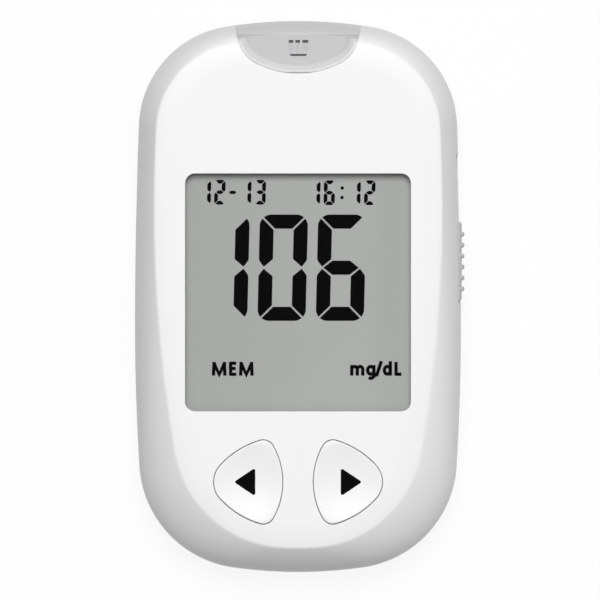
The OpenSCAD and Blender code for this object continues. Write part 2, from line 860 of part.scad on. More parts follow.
module switch_at(side) {
    half = switch_w / 2;
    well = board_top + switch_h - plunger_depth - key_travel - 0.1;
    color("silver") translate([side * key_post_x, key_y]) difference() {
        block([-half, -half, board_top], [half, half, board_top + switch_h]);
        rod(plunger_d + 2 * plunger_play, well, board_top + switch_h + past);
    }
}

module left_switch() {
    switch_at(-1);
}

module right_switch() {
    switch_at(1);
}

// ---- strip port

module strip_port_insert() {
    floor_level = body_h - port_dish;
    inner_y = port_y + port_flange_l;
    dish_points = port_points(-port_rim);
    floor_points = port_points(-port_rim - port_bevel);
    color("silver") difference() {
        union() {
            intersection() {
                front_form();
                difference() {
                    port_prism(0, parting_z + fit, body_h);
                    block([-body_w, 0, 0], [body_w, port_wall_y, floor_level - port_skin]);
                }
            }
            intersection() {
                port_prism(port_flange_w, face_under - fit - port_flange_t, face_under - fit);
                block([-body_w, 0, 0], [body_w, inner_y, body_h]);
            }
        }
        loft([
            [for (p = floor_points) [p.x, p.y, floor_level]],
            [for (p = dish_points) [p.x, p.y, body_h + 0.05]] // just over the face
        ]);
        strip_mouth(parting_z - past);
    }
}

module strip_connector() {
    high_y = connector_y + connector_l;
    channel_low = strip_z - channel_h / 2;
    color("dimgrey") difference() {
        block([-connector_w / 2, connector_y, channel_low - connector_floor],
              [connector_w / 2, high_y, board_z]);
        block([-strip_w / 2, connector_y - past, channel_low],
              [strip_w / 2, high_y + past, channel_low + channel_h]);
        for (i = [0 : contact_count - 1])
            block([contact_x(i) - contact_w / 2 - fit, connector_y + slot_ends[0], strip_z],
                  [contact_x(i) + contact_w / 2 + fit, high_y - slot_ends[1], board_z - connector_roof]);
    }
}

function contact_x(i) = (i - (contact_count - 1) / 2) * contact_pitch;

// Sprung leaves that reach down into the channel, each fixed to the housing's roof
module strip_contacts() {
    roof = board_z - connector_roof;
    low = strip_z + fit;
    end = roof - leaf_lift;
    for (i = [0 : contact_count - 1])
        color("gold") translate([contact_x(i) - contact_w / 2, leaf_y, 0]) rotate([90, 0, 90])
            linear_extrude(contact_w) polygon([
                [0, roof], [leaf_foot, roof], [leaf_foot, roof - leaf_t], [leaf_bend, low + leaf_t],
                [leaf_l, end], [leaf_l, end - leaf_t], [leaf_bend, low],
                [leaf_t, roof - 2 * leaf_t], [0, roof - leaf_t]
            ]);
}

// ---- strip ejector

module ejector_slider() {
    rib_w = rib_pitch / 2;
    first_rib = slider_y + slider_l / 2 - (rib_count - 1) / 2 * rib_pitch;
    low_z = slider_z - slider_h / 2;
    high_z = slider_z + slider_h / 2;
    color("white") {
        block([slider_in, slider_y, low_z], [slider_out, slider_y + slider_l, high_z]);
        block([carriage_x + carriage_w, neck_y, slider_z - neck_h / 2],
              [slider_in + 0.1, neck_high, slider_z + neck_h / 2]);
        for (i = [0 : rib_count - 1])
            translate([slider_out, first_rib + i * rib_pitch, low_z + rib_setback])
                rib(rib_w, slider_h - 2 * rib_setback);
    }
}

// One rib along Z with a round back
module rib(width, length) {
    translate([rib_h - width / 2, 0, 0]) cylinder(h = length, d = width);
    translate([-0.1, -width / 2, 0]) cube([rib_h - width / 2 + 0.1, width, length]);
}

module ejector_fork() {
    arm_y = carriage_top - arm_l;
    tip_y = connector_y + prong_gap;
    color("whitesmoke") {
        block([carriage_x, neck_y, carriage_low], [carriage_x + carriage_w, carriage_top, carriage_high]);
        block([-prong_x - prong_w, arm_y, arm_z], [carriage_x + 0.1, carriage_top, arm_z + arm_t]);
        pair_block([prong_x, arm_y, strip_z - prong_t / 2],
                   [prong_x + prong_w, tip_y, strip_z + prong_t / 2]);
    }
}

module ejector_spring() {
    r = (spring_d - spring_wire) / 2;
    color("silver") translate([spring_x, carriage_top, spring_z])
        coil(r, r, spring_wire, spring_l, spring_turns);
}

// ---- board

module circuit_board() {
    color("seagreen") difference() {
        translate([0, 0, board_z]) linear_extrude(board_t) polygon(hollow_outline(board_top, board_play));
        block([pad_x - board_play, track_low - pad_reach - board_play, board_z - past],
              [body_w, track_high + pad_reach + board_play, board_top + past]);
        pair_block([-past, port_wall_y - board_play, board_z - past],
                   [port_w / 2 + board_play, body_l, board_top + past]);
        for (place = screw_places)
            translate(place) rod(screw_d + 4 * hole_play, board_z - past, board_top + past);
    }
}

module controller_chip() {
    half = chip_w / 2;
    color("black") block([-half, chip_y - half, board_z - chip_t], [half, chip_y + half, board_z]);
}

// A row of small capacitors beside the chip, and the crystal
module board_components() {
    low_x = -chip_w / 2 - component_gap - capacitor.x;
    crystal_x = chip_w / 2 + component_gap;
    color("tan") for (i = [0 : 3])
        let (y = chip_y + (i - 1.5) * capacitor_pitch - capacitor.y / 2)
            block([low_x, y, board_z - capacitor.z], [low_x + capacitor.x, y + capacitor.y, board_z]);
    color("silver") block([crystal_x, chip_y - crystal.y / 2, board_z - crystal.z],
                          [crystal_x + crystal.x, chip_y + crystal.y / 2, board_z]);
}

module buzzer() {
    color("dimgrey") translate(buzzer_place) difference() {
        rod(buzzer_d, board_z - buzzer_t, board_z);
        rod(buzzer_hole_d, board_z - buzzer_t - past, board_z - 1);
    }
}

// ---- power

// A cell along Y, with its nub at the upper end
module cell() {
    can_l = cell_l - nub_l;
    color("goldenrod") y_rod(cell_d, 0, can_l);
    color("silver") y_rod(nub_d, can_l - 0.1, cell_l);
}

module left_cell() {
    translate([-cell_x, cell_low, cell_z]) cell();
}

module right_cell() {
    translate([cell_x, cell_high, cell_z]) rotate([0, 0, 180]) cell();
}

// The plate that joins the cells at the lower end, raised to meet the right cell's nub
module cell_link() {
    plate_w = bay_w / 2 - plate_margin;
    plate_h = cell_d - 2 * plate_margin;
    y = bay_low + fit;
    color("silver") {
        block([-plate_w, y, cell_z - plate_h / 2], [plate_w, y + contact_t, cell_z + plate_h / 2]);
        translate([cell_x, 0, cell_z]) y_rod(nub_d, y + contact_t / 2, cell_low);
    }
}

module link_spring() {
    y = bay_low + fit + contact_t;
    color("silver") translate([-cell_x, y, cell_z])
        coil(contact_spring_r, contact_tip_r, contact_wire, cell_low - y, contact_turns);
}

// A plate at the upper end of the bay
module end_plate(x) {
    plate_h = cell_d - 2 * plate_margin;
    y = bay_high - fit - contact_t;
    half = (cell_d - plate_margin) / 2;
    block([x - half, y, cell_z - plate_h / 2], [x + half, y + contact_t, cell_z + plate_h / 2]);
}

module positive_contact() {
    color("silver") {
        end_plate(-cell_x);
        translate([-cell_x, 0, cell_z]) y_rod(nub_d, cell_high, bay_high - fit - contact_t / 2);
    }
}

module negative_contact() {
    color("silver") end_plate(cell_x);
}

module negative_spring() {
    y = bay_high - fit - contact_t;
    color("silver") translate([cell_x, y, cell_z]) rotate([0, 0, 180])
        coil(contact_spring_r, contact_tip_r, contact_wire, y - cell_high, contact_turns);
}

// ---- fasteners and feet

module case_screws() {
    color("silver") for (place = screw_places)
        translate(place) difference() {
            union() {
                rod(screw_head_d, screw_seat_z - screw_head_h, screw_seat_z);
                rod(screw_d, screw_seat_z - 0.1, screw_tip_z);
            }
            for (turn = [0, 90])
                translate([0, 0, screw_seat_z - screw_head_h]) rotate(turn)
                    cube([recess_l, recess_w, 2 * recess_depth], center = true);
        }
}

module rubber_feet() {
    color("dimgrey") for (place = screw_places)
        translate(place) rod(foot_d, 0, back_z + foot_seat);
}

front_shell();
rear_shell();
battery_door();
display_window();
dust_gasket();
lcd_glass();
lcd_frame();
elastomer_strip();
strip_port_insert();
strip_connector();
strip_contacts();
left_key();
right_key();
left_plunger();
right_plunger();
left_switch();
right_switch();
ejector_slider();
ejector_fork();
ejector_spring();
circuit_board();
controller_chip();
board_components();
buzzer();
left_cell();
right_cell();
cell_link();
link_spring();
positive_contact();
negative_contact();
negative_spring();
case_screws();
rubber_feet();
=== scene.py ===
import json
import math

import bpy
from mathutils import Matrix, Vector


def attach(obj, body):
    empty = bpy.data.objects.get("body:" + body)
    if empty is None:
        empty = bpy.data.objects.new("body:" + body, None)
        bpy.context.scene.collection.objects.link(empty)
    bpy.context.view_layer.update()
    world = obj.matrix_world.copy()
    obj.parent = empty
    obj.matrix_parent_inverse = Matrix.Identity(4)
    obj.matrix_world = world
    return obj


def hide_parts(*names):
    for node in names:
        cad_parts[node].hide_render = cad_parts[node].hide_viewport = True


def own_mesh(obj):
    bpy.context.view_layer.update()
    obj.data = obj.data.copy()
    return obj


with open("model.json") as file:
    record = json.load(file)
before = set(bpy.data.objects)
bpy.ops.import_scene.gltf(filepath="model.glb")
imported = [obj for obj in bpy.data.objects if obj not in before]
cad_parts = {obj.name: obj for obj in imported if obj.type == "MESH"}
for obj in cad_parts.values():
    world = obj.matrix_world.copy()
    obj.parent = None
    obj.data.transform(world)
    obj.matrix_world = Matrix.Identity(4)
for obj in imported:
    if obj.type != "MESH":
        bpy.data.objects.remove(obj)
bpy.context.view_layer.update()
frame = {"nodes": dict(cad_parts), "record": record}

# lengths are in millimetres up to addPiece, which turns them into metres

scene = bpy.context.scene
cadNodes = frame["nodes"]
metre = 0.001


def sinD(angle):
    return math.sin(math.radians(angle))


def cosD(angle):
    return math.cos(math.radians(angle))


def asinD(share):
    return math.degrees(math.asin(share))


def headingOf(v):
    return math.degrees(math.atan2(v[1], v[0]))


def eased(t):
    return t * t * (3 - 2 * t)


def mixed(a, b, t):
    return a + (b - a) * t


def clamped(value, low, high):
    return min(high, max(low, value))


def scaled(colour, share):
    return tuple(c * share for c in colour)


def quarterRound(steps):
    # a quarter round of radius 1: how far it has turned in, and how far it still is from its end
    return [(1 - cosD(90 * i / steps), 1 - sinD(90 * i / steps)) for i in range(steps + 1)]


class Signal:
    # one output socket; sums and products of it add Math nodes
    def __init__(self, finish, socket):
        self.finish, self.socket = finish, socket

    def maths(self, operation, first, second):
        return self.finish.node("ShaderNodeMath", {"operation": operation}, {0: first, 1: second})

    def __add__(self, other):
        return self.maths("ADD", self, other)

    def __radd__(self, other):
        return self.maths("ADD", other, self)

    def __sub__(self, other):
        return self.maths("SUBTRACT", self, other)

    def __rsub__(self, other):
        return self.maths("SUBTRACT", other, self)

    def __mul__(self, other):
        return self.maths("MULTIPLY", self, other)

    def __rmul__(self, other):
        return self.maths("MULTIPLY", other, self)

    def __gt__(self, other):
        return self.maths("GREATER_THAN", self, other)

    def __lt__(self, other):
        return self.maths("LESS_THAN", self, other)


class Finish:
    # a material, or the world, under construction
    def __init__(self, name, holder=None):
        self.material = holder or bpy.data.materials.new(name)
        self.material.use_nodes = True
        self.tree = self.material.node_tree
        self.tree.nodes.clear()
        if not holder:
            self.place = self.node("ShaderNodeTexCoord", output="Object")

    def node(self, kind, settings=None, inputs=None, output=0):
        made = self.tree.nodes.new(kind)
        for name, value in (settings or {}).items():
            setattr(made, name, value)
        for name, value in (inputs or {}).items():
            if isinstance(value, Signal):
                self.tree.links.new(value.socket, made.inputs[name])
            else:
                made.inputs[name].default_value = value
        return Signal(self, made.outputs[output]) if made.outputs else None

    def colour(self, factor, first, second):
        first, second = [c if isinstance(c, Signal) else (*c, 1) for c in (first, second)]
        return self.node(
            "ShaderNodeMix", {"data_type": "RGBA"}, {"Factor": factor, 6: first, 7: second}, output=2,
        )

    def axis(self, name):
        return self.node("ShaderNodeSeparateXYZ", inputs={0: self.place}, output=name)

    def noise(self, perMetre, detail=3.0, roughness=0.5):
        return self.node(
            "ShaderNodeTexNoise",
            inputs={"Vector": self.place, "Scale": perMetre, "Detail": detail, "Roughness": roughness},
        )

    def fade(self, value, start, end, first, last):
        # from the first amount to the last, with soft ends
        return self.node(
            "ShaderNodeMapRange", {"interpolation_type": "SMOOTHSTEP"},
            {"Value": value, "From Min": start, "From Max": end, "To Min": first, "To Max": last},
        )

    def bump(self, height, depth):
        return self.node("ShaderNodeBump", inputs={"Height": height, "Distance": depth}, output="Normal")

    def mixShader(self, factor, first, second):
        return self.node("ShaderNodeMixShader", inputs={0: factor, 1: first, 2: second})

    def surface(self, **sockets):
        names = {key.replace("_", " "): value for key, value in sockets.items()}
        return self.show(self.node("ShaderNodeBsdfPrincipled", inputs=names))

    def show(self, shader):
        self.node("ShaderNodeOutputMaterial", inputs={"Surface": shader})
        return self.material


def mouldedPlastic(name, colour, roughness, grainDepth=0.000004, grainPerMetre=9000, shade=0.02, gloss=0.5):
    finish = Finish(name)
    cloud = finish.noise(60, 2)
    grain = finish.noise(grainPerMetre, 2)
    return finish.surface(
        Base_Color=finish.colour(cloud, colour, scaled(colour, 1 - shade)),
        Roughness=roughness - 0.03 + cloud * 0.06 + grain * 0.02,
        Specular_IOR_Level=gloss,
        Normal=finish.bump(grain, grainDepth),
    )


def brushedMetal(name, colour, roughness, streak=(4000, 300, 4000), depth=0.000003):
    finish = Finish(name)
    stretched = finish.node(
        "ShaderNodeVectorMath", {"operation": "MULTIPLY"}, {0: finish.place, 1: streak}
    )
    streaks = finish.node("ShaderNodeTexNoise", inputs={"Vector": stretched, "Scale": 1.0, "Detail": 3.0})
    tarnish = finish.noise(180, 4)
    return finish.surface(
        Base_Color=finish.colour(tarnish * 0.5 + streaks * 0.3, colour, scaled(colour, 0.72)),
        Metallic=1.0,
        Roughness=roughness + streaks * 0.12,
        Normal=finish.bump(streaks, depth),
    )


# the floor's darker grey is painted shade in the dish
portTone = {  # places in metres, as the shader sees them
    "rim": (0.66, 0.66, 0.665), "floor": (0.53, 0.53, 0.535), "floorZ": 0.0218, "climb": 0.00035,
    "upperEnd": 0.0455,
}


def portPlastic():
    # light grey; the floor of its dish has a fine etching that makes it rougher, and is painted darker than
    # the rim as shade in the recess
    finish = Finish("port_grey")
    cloud = finish.noise(60, 2)
    grain = finish.noise(9000, 2)
    # painted shade: the floor of the dish, below its upper end, is darker than the rim
    low = finish.fade(finish.axis("Z"), portTone["floorZ"], portTone["floorZ"] + portTone["climb"], 1.0, 0.0)
    etchedAndShadedFloor = low * (finish.axis("Y") < portTone["upperEnd"])
    return finish.surface(
        Base_Color=finish.colour(etchedAndShadedFloor, portTone["rim"], portTone["floor"]),
        Roughness=0.31 + etchedAndShadedFloor * 0.1 + cloud * 0.05 + grain * 0.02,
        Specular_IOR_Level=0.35,
        Normal=finish.bump(grain, 0.000003),
    )


# darker and lighter set painted shade on the left of the display and painted light on its right
displayTone = {
    "grey": (0.425, 0.426, 0.424), "speck": (0.375, 0.376, 0.375), "darker": 0.95, "lighter": 1.07,
    "span": 0.042,
}


def displayGlass():
    # the reflector behind the segments, with painted shade and light across it: darker on the left, a little
    # lighter to the right
    finish = Finish("segment_display")
    across = finish.axis("X") * (1 / displayTone["span"]) + 0.5
    grain = finish.noise(14000, 1)
    dark, light = [scaled(displayTone["grey"], displayTone[end]) for end in ("darker", "lighter")]
    # painted light and shade: the grey grows lighter from left to right, as light falls across the display
    paintedLightAcross = finish.colour(across, dark, light)
    return finish.surface(
        Base_Color=finish.colour(grain * 0.12, paintedLightAcross, displayTone["speck"]),
        Roughness=0.42 + grain * 0.05,
        Specular_IOR_Level=0.15,
    )


def clearWindow():
    # a thin pane: light goes straight through, and its faces mirror a little
    finish = Finish("clear_window")
    smear = finish.noise(90, 3)
    inside = finish.node("ShaderNodeNewGeometry", output="Backfacing")
    facing = finish.node("ShaderNodeLayerWeight", inputs={"Blend": 0.5}, output="Facing")
    steep = facing * facing
    mirror = (steep * steep * 0.6 + 0.0005) * (1 - inside)  # almost nothing from straight above
    polished = finish.node(
        "ShaderNodeBsdfPrincipled",
        inputs={"Base Color": (1, 1, 1, 1), "Metallic": 1.0, "Roughness": 0.03 + smear * 0.04},
    )
    through = finish.node("ShaderNodeBsdfTransparent", inputs={"Color": (0.985, 0.99, 0.985, 1)})
    return finish.show(finish.mixShader(mirror, through, polished))


def inkBlack(name, colour=(0.0015, 0.0015, 0.0016)):
    finish = Finish(name)
    speckle = finish.noise(6000, 2)
    return finish.surface(
        Base_Color=finish.colour(speckle, colour, scaled(colour, 1.5)),
        Roughness=0.6 + speckle * 0.1,
        Specular_IOR_Level=0.02,
    )


def softRubber(name, colour, pores=5000):
    finish = Finish(name)
    pore = finish.noise(pores, 3, 0.7)
    return finish.surface(
        Base_Color=finish.colour(pore, colour, scaled(colour, 0.7)),
        Roughness=0.72 + pore * 0.15,
        Specular_IOR_Level=0.25,
        Normal=finish.bump(pore, 0.00002),
    )


def stripedElastomer():
    finish = Finish("striped_elastomer")
    bands = finish.node(
        "ShaderNodeTexWave", {"wave_type": "BANDS", "bands_direction": "X"},
        {"Vector": finish.place, "Scale": 900.0},
    )
    return finish.surface(
        Base_Color=finish.colour(bands, (0.62, 0.30, 0.28), (0.05, 0.04, 0.04)), Roughness=0.7,
    )


def solderMask():
    # green laminate: a faint net of tracks under the mask, with bright pads
    finish = Finish("solder_mask")
    tracks = finish.node(
        "ShaderNodeTexBrick", {"offset": 0.37, "squash": 0.6},
        {"Vector": finish.place, "Scale": 320.0, "Mortar Size": 0.05, "Color1": (0, 0, 0, 1),
         "Color2": (0, 0, 0, 1), "Mortar": (1, 1, 1, 1)},
    )
    cells = finish.node("ShaderNodeTexVoronoi", inputs={"Vector": finish.place, "Scale": 340.0})
    pads = cells < 0.13
    green = finish.colour(tracks, (0.012, 0.11, 0.05), (0.03, 0.2, 0.09))
    return finish.surface(
        Base_Color=finish.colour(pads, green, (0.7, 0.62, 0.4)),
        Roughness=0.34 - pads * 0.1,
        Metallic=pads * 0.8,
        Normal=finish.bump(tracks, 0.00002),
    )


def cellJacket():
    # a plain metallised sleeve in two tones, with bare steel at the ends
    finish = Finish("cell_jacket")
    along = finish.axis("Y")
    grain = finish.noise(800, 3)
    sleeve = finish.colour((along * 30 + 0.9) > 0.5, (0.10, 0.16, 0.30), (0.62, 0.63, 0.65))
    return finish.surface(
        Base_Color=sleeve, Metallic=0.7, Roughness=0.3 + grain * 0.1, Normal=finish.bump(grain, 0.00001),
    )


plastics = {
    "white_casing": {"colour": (0.88, 0.88, 0.88), "roughness": 0.36, "grainDepth": 0.000003, "shade": 0.008,
                     "gloss": 0.3},
    "rear_casing": {"colour": (0.83, 0.83, 0.835), "roughness": 0.5, "grainDepth": 0.00001,
                    "grainPerMetre": 5200, "gloss": 0.3},
    "key_white": {"colour": (0.88, 0.88, 0.88), "roughness": 0.33, "grainDepth": 0.000002, "shade": 0.008,
                  "gloss": 0.3},
    "slider_grip": {"colour": (0.66, 0.66, 0.66), "roughness": 0.45, "grainDepth": 0.00001,
                    "grainPerMetre": 6000, "shade": 0.03, "gloss": 0.15},
    "frame_plastic": {"colour": (0.72, 0.71, 0.66), "roughness": 0.5},
    "black_plastic": {"colour": (0.02, 0.02, 0.021), "roughness": 0.45, "grainDepth": 0.00001,
                      "grainPerMetre": 6000, "shade": 0.3},
    "component": {"colour": (0.46, 0.36, 0.25), "roughness": 0.55, "grainDepth": 0.00001,
                  "grainPerMetre": 6000, "shade": 0.3},
}
metals = {
    "gold_contact": {"colour": (0.83, 0.61, 0.24), "roughness": 0.22},
    "switch_can": {"colour": (0.62, 0.62, 0.61), "roughness": 0.3},
    "spring_steel": {"colour": (0.60, 0.60, 0.60), "roughness": 0.24, "streak": (900, 900, 900)},
    "screw_steel": {"colour": (0.52, 0.53, 0.55), "roughness": 0.3},
}
rubbers = {
    "foam": {"colour": (0.10, 0.10, 0.102), "pores": 7000},
    "foot_rubber": {"colour": (0.12, 0.12, 0.125)},
}
inks = {
    "segment_black": {}, "arrow_print": {}, "pictogram_dark": {"colour": (0.09, 0.09, 0.094)},
    "pictogram_grey": {"colour": (0.45, 0.45, 0.455)},
}
finishes = {
    "port_grey": portPlastic(), "clear_window": clearWindow(), "lcd": displayGlass(),
    "elastomer": stripedElastomer(), "board": solderMask(), "cell_jacket": cellJacket(),
}
for make, looks in (
    (mouldedPlastic, plastics), (brushedMetal, metals), (softRubber, rubbers), (inkBlack, inks),
):
    for name, look in looks.items():
        finishes[name] = make(name, **look)
print("finishes made:", len(finishes))


# outlines are made of arcs that meet without a kink: the radii are of the side, corner and end
casing = {
    "width": 56.8, "length": 96.0, "face": 22.5, "parting": 11.0, "back": 0.5, "backInset": 6.0,
    "sideWall": 1.9, "faceWall": 1.7, "rearWall": 1.9, "waistDrop": 5.0,
    "upperRadii": (900, 18, 80), "lowerRadii": (400, 19, 80),
    "sideBand": 3.4, "upperBand": 3.2, "lowerBand": 4.3, "faceWaist": 15.0,
    "faceUpperRadii": (300, 15.5, 80), "faceLowerRadii": (250, 20, 50),
    "rollSide": 32, "rollEnd": 84,  # degrees turned at the crease, on the side and the upper end
    "rollRun": 8.5,  # about the way from the joint to the crease
    "crown": 0.2, "crownWidth": 4.2,
    "creaseWall": 0.6, "creaseSoft": 0.25, "seam": 0.14,
    "lipHeight": 1.2, "lipThick": 0.8, "lipInset": 1.0, "lipGap": 0.2, "fit": 0.1, "slideFit": 0.3,
    "quarterSteps": 48, "rollSteps": 26, "hollowSteps": 8, "creaseSteps": 5, "crownSteps": 8,
}
halfWidth, halfLength = casing["width"] / 2, casing["length"] / 2
faceZ, partingZ, backZ = casing["face"], casing["parting"], casing["back"]
creaseZ = faceZ - casing["crown"]
faceUnder = faceZ - casing["faceWall"]
fit, slideFit = casing["fit"], casing["slideFit"]
past = 1.0  # how far a cut runs past the surface that it opens
weld = 0.1  # how far joined shapes run into each other
hair = 0.0001  # of a degree, so that rounding never leaves a heading past the last arc


def circlesCross(c1, r1, c2, r2):
    # where two circles cross, on the left of the way from the first centre to the second
    d = math.dist(c1, c2)
    ux, uy = (c2[0] - c1[0]) / d, (c2[1] - c1[1]) / d
    along = (r1 * r1 - r2 * r2 + d * d) / (2 * d)
    off = math.sqrt(r1 * r1 - along * along)
    return (c1[0] + along * ux - off * uy, c1[1] + along * uy + off * ux)


def quarterArcs(halfW, length, radii):
    # side, corner and end arcs as (centre, radius, last heading)
    sideR, cornerR, endR = radii
    side, end = (halfW - sideR, 0), (0, length - endR)
    corner = circlesCross(side, sideR - cornerR, end, endR - cornerR)
    first = headingOf((corner[0] - side[0], corner[1] - side[1]))
    second = headingOf((corner[0] - end[0], corner[1] - end[1]))
    return [(side, sideR, first), (corner, cornerR, second), (end, endR, 90)]


def arcPoint(arcs, heading, grow):
    centre, radius, _ = next(a for a in arcs if heading <= a[2] + hair)
    return (centre[0] + (radius + grow) * cosD(heading), centre[1] + (radius + grow) * sinD(heading))


def outlinePoint(outline, heading, grow):
    waist, upper, lower = outline
    left = heading > 90
    turned = 180 - heading if left else heading
    x, y = arcPoint(lower if turned < 0 else upper, abs(turned), grow)
    return (-x if left else x, waist - y if turned < 0 else waist + y)


bodyOutline = (
    -casing["waistDrop"],
    quarterArcs(halfWidth, halfLength + casing["waistDrop"], casing["upperRadii"]),
    quarterArcs(halfWidth, halfLength - casing["waistDrop"], casing["lowerRadii"]),
)
faceHalf = halfWidth - casing["sideBand"]
faceOutline = (
    casing["faceWaist"],
    quarterArcs(faceHalf, halfLength - casing["upperBand"] - casing["faceWaist"], casing["faceUpperRadii"]),
    quarterArcs(faceHalf, halfLength - casing["lowerBand"] + casing["faceWaist"], casing["faceLowerRadii"]),
)
steps = casing["quarterSteps"]
headings = [90 * (q + eased(i / steps)) for q in range(-1, 3) for i in range(steps)]


def rollEnd(heading):
    # how far the side has rolled over at the crease, in degrees: more towards the upper end
    return mixed(casing["rollSide"], casing["rollEnd"], max(0, sinD(heading)) ** 2)


def rolledPoint(heading, turn, edgeInset, creaseInset):
    across = (1 - cosD(turn)) / (1 - cosD(rollEnd(heading)))
    edge = outlinePoint(bodyOutline, heading, -edgeInset)
    crease = outlinePoint(faceOutline, heading, -creaseInset)
    return mixed(edge[0], crease[0], across), mixed(edge[1], crease[1], across)


def rollPoint(heading, share, edgeInset=0, creaseInset=0, top=creaseZ):
    turn = rollEnd(heading) * share
    x, y = rolledPoint(heading, turn, edgeInset, creaseInset)
    return (x, y, partingZ + (top - partingZ) * sinD(turn) / sinD(rollEnd(heading)))


def crownPoint(heading, share):
    x, y = outlinePoint(faceOutline, heading, -casing["crownWidth"] * share)
    return (x, y, faceZ - casing["crown"] * (1 - share) ** 2)


def ringOf(pointAt):
    return [pointAt(h) for h in headings]


def raised(outline, z):
    return [(x, y, z) for x, y in outline]


def wholeOutline(outline, grow):
    return [outlinePoint(outline, h, grow) for h in headings]


def levelRing(outline, grow, z):
    return raised(wholeOutline(outline, grow), z)


def rearRing(turn, inset=0, lift=0):
    z = partingZ - (partingZ - backZ - lift) * sinD(turn)
    return levelRing(bodyOutline, -inset - casing["backInset"] * (1 - cosD(turn)), z)


def newObject(name, points, faces):
    mesh = bpy.data.meshes.new(name)
    mesh.from_pydata(points, [], faces)
    made = bpy.data.objects.new(name, mesh)
    scene.collection.objects.link(made)
    return made


def loft(name, rings):
    # a closed solid through rings of equally many points
    count = len(rings[0])
    points = [p for ring in rings for p in ring]
    faces = [
        (k * count + i, k * count + (i + 1) % count, (k + 1) * count + (i + 1) % count, (k + 1) * count + i)
        for k in range(len(rings) - 1) for i in range(count)
    ]
    faces.append(tuple(range(count - 1, -1, -1)))
    faces.append(tuple(range(len(points) - count, len(points))))
    return newObject(name, points, faces)


def prism(name, outline, low, high):
    return loft(name, [raised(outline, low), raised(outline, high)])


def rounded(size, radius, centre=(0, 0), perCorner=8):
    # a rectangle with round corners, counter-clockwise
    points = []
    for turn, sx, sy in ((0, 1, 1), (90, -1, 1), (180, -1, -1), (270, 1, -1)):
        for i in range(perCorner + 1):
            angle = turn + 90 * i / perCorner
            points.append((centre[0] + sx * (size[0] / 2 - radius) + radius * cosD(angle),
                           centre[1] + sy * (size[1] / 2 - radius) + radius * sinD(angle)))
    return points


def block(name, low, high):
    outline = [(low[0], low[1]), (high[0], low[1]), (high[0], high[1]), (low[0], high[1])]
    return prism(name, outline, low[2], high[2])


def circle(radius, centre=(0, 0), count=48):
    return [(centre[0] + radius * cosD(360 * i / count), centre[1] + radius * sinD(360 * i / count))
            for i in range(count)]


def rod(name, diameter, place, low, high):
    return prism(name, circle(diameter / 2, place), low, high)


def turned(name, profile, centre, axis="Z", count=48):
    # a solid of revolution: profile is (radius, height) from one end to the other along the axis
    rings = []
    for radius, height in profile:
        ring = []
        for i in range(count):
            a, b = radius * cosD(360 * i / count), radius * sinD(360 * i / count)
            offset = (a, b, height) if axis == "Z" else (b, height, a)
            ring.append(tuple(c + o for c, o in zip(centre, offset)))
        rings.append(ring)
    return loft(name, rings)


def applyModifiers(piece):
    graph = bpy.context.evaluated_depsgraph_get()
    result = bpy.data.meshes.new_from_object(
        piece.evaluated_get(graph), preserve_all_data_layers=True, depsgraph=graph,
    )
    piece.modifiers.clear()
    old = piece.data
    piece.data = result
    bpy.data.meshes.remove(old)


def combine(target, other, operation):
    modifier = target.modifiers.new("cut", "BOOLEAN")
    modifier.object, modifier.operation, modifier.solver = other, operation, "MANIFOLD"
    applyModifiers(target)
    bpy.data.objects.remove(other)
    return target


def cut(target, *others):
    for other in others:
        combine(target, other, "DIFFERENCE")
    return target


def join(target, *others):
    for other in others:
        combine(target, other, "UNION")
    return target


def keep(target, other):
    return combine(target, other, "INTERSECT")


def weighNormals(piece):
    # large flat faces keep their own normal, so that they shade evenly up to a rounded edge
    modifier = piece.modifiers.new("weigh", "WEIGHTED_NORMAL")
    modifier.mode, modifier.weight, modifier.keep_sharp = "FACE_AREA", 60, True
    applyModifiers(piece)


def addPiece(piece, name, body, finishName, replaced=None, sharpAngle=29):
    # millimetres to metres, smooth shading, its finish, and its place in the model
    piece.data.transform(((metre, 0, 0, 0), (0, metre, 0, 0), (0, 0, metre, 0), (0, 0, 0, 1)))
    piece.data.shade_smooth()
    piece.data.set_sharp_from_angle(angle=math.radians(sharpAngle))
    weighNormals(piece)
    piece.name = name
    piece.data.name = name
    piece.data.materials.clear()
    piece.data.materials.append(finishes[finishName])
    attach(piece, body)
    if replaced:
        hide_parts(replaced)


def mirrored(points):
    # left to right, and still counter-clockwise
    return [(-x, y) for x, y in reversed(points)]


def softColumn(name, outlineAt, low, soft, reliefAt=None, steps=4):
    # a column up through the face whose edge there turns out, or in, by a quarter round: reliefAt
    # gives the face's height at a point and the share of the round that has room there
    inner, outer = outlineAt(0), outlineAt(soft)
    relief = [reliefAt(p) if reliefAt else (faceZ, 1.0) for p in inner]
    rings = [raised(inner, low)]
    for out, down in quarterRound(steps):
        rings.append([
            (mixed(a[0], b[0], room * out), mixed(a[1], b[1], room * out), z - soft * room * down)
            for a, b, (z, room) in zip(inner, outer, relief)
        ])
    rings.append([(x, y, z + past) for x, y, z in rings[-1]])
    return loft(name, rings)


screen = {
    "size": (39.2, 41.3), "corner": 1.7, "middle": (0.0, 0.7), "edgeSoft": 0.06,
    "windowDrop": 0.8, "windowSoft": 0.22, "flange": 1.2, "flangeThick": 1.0,
}


def screenOutline(grow):
    return rounded([s + 2 * grow for s in screen["size"]], screen["corner"] + grow, screen["middle"])


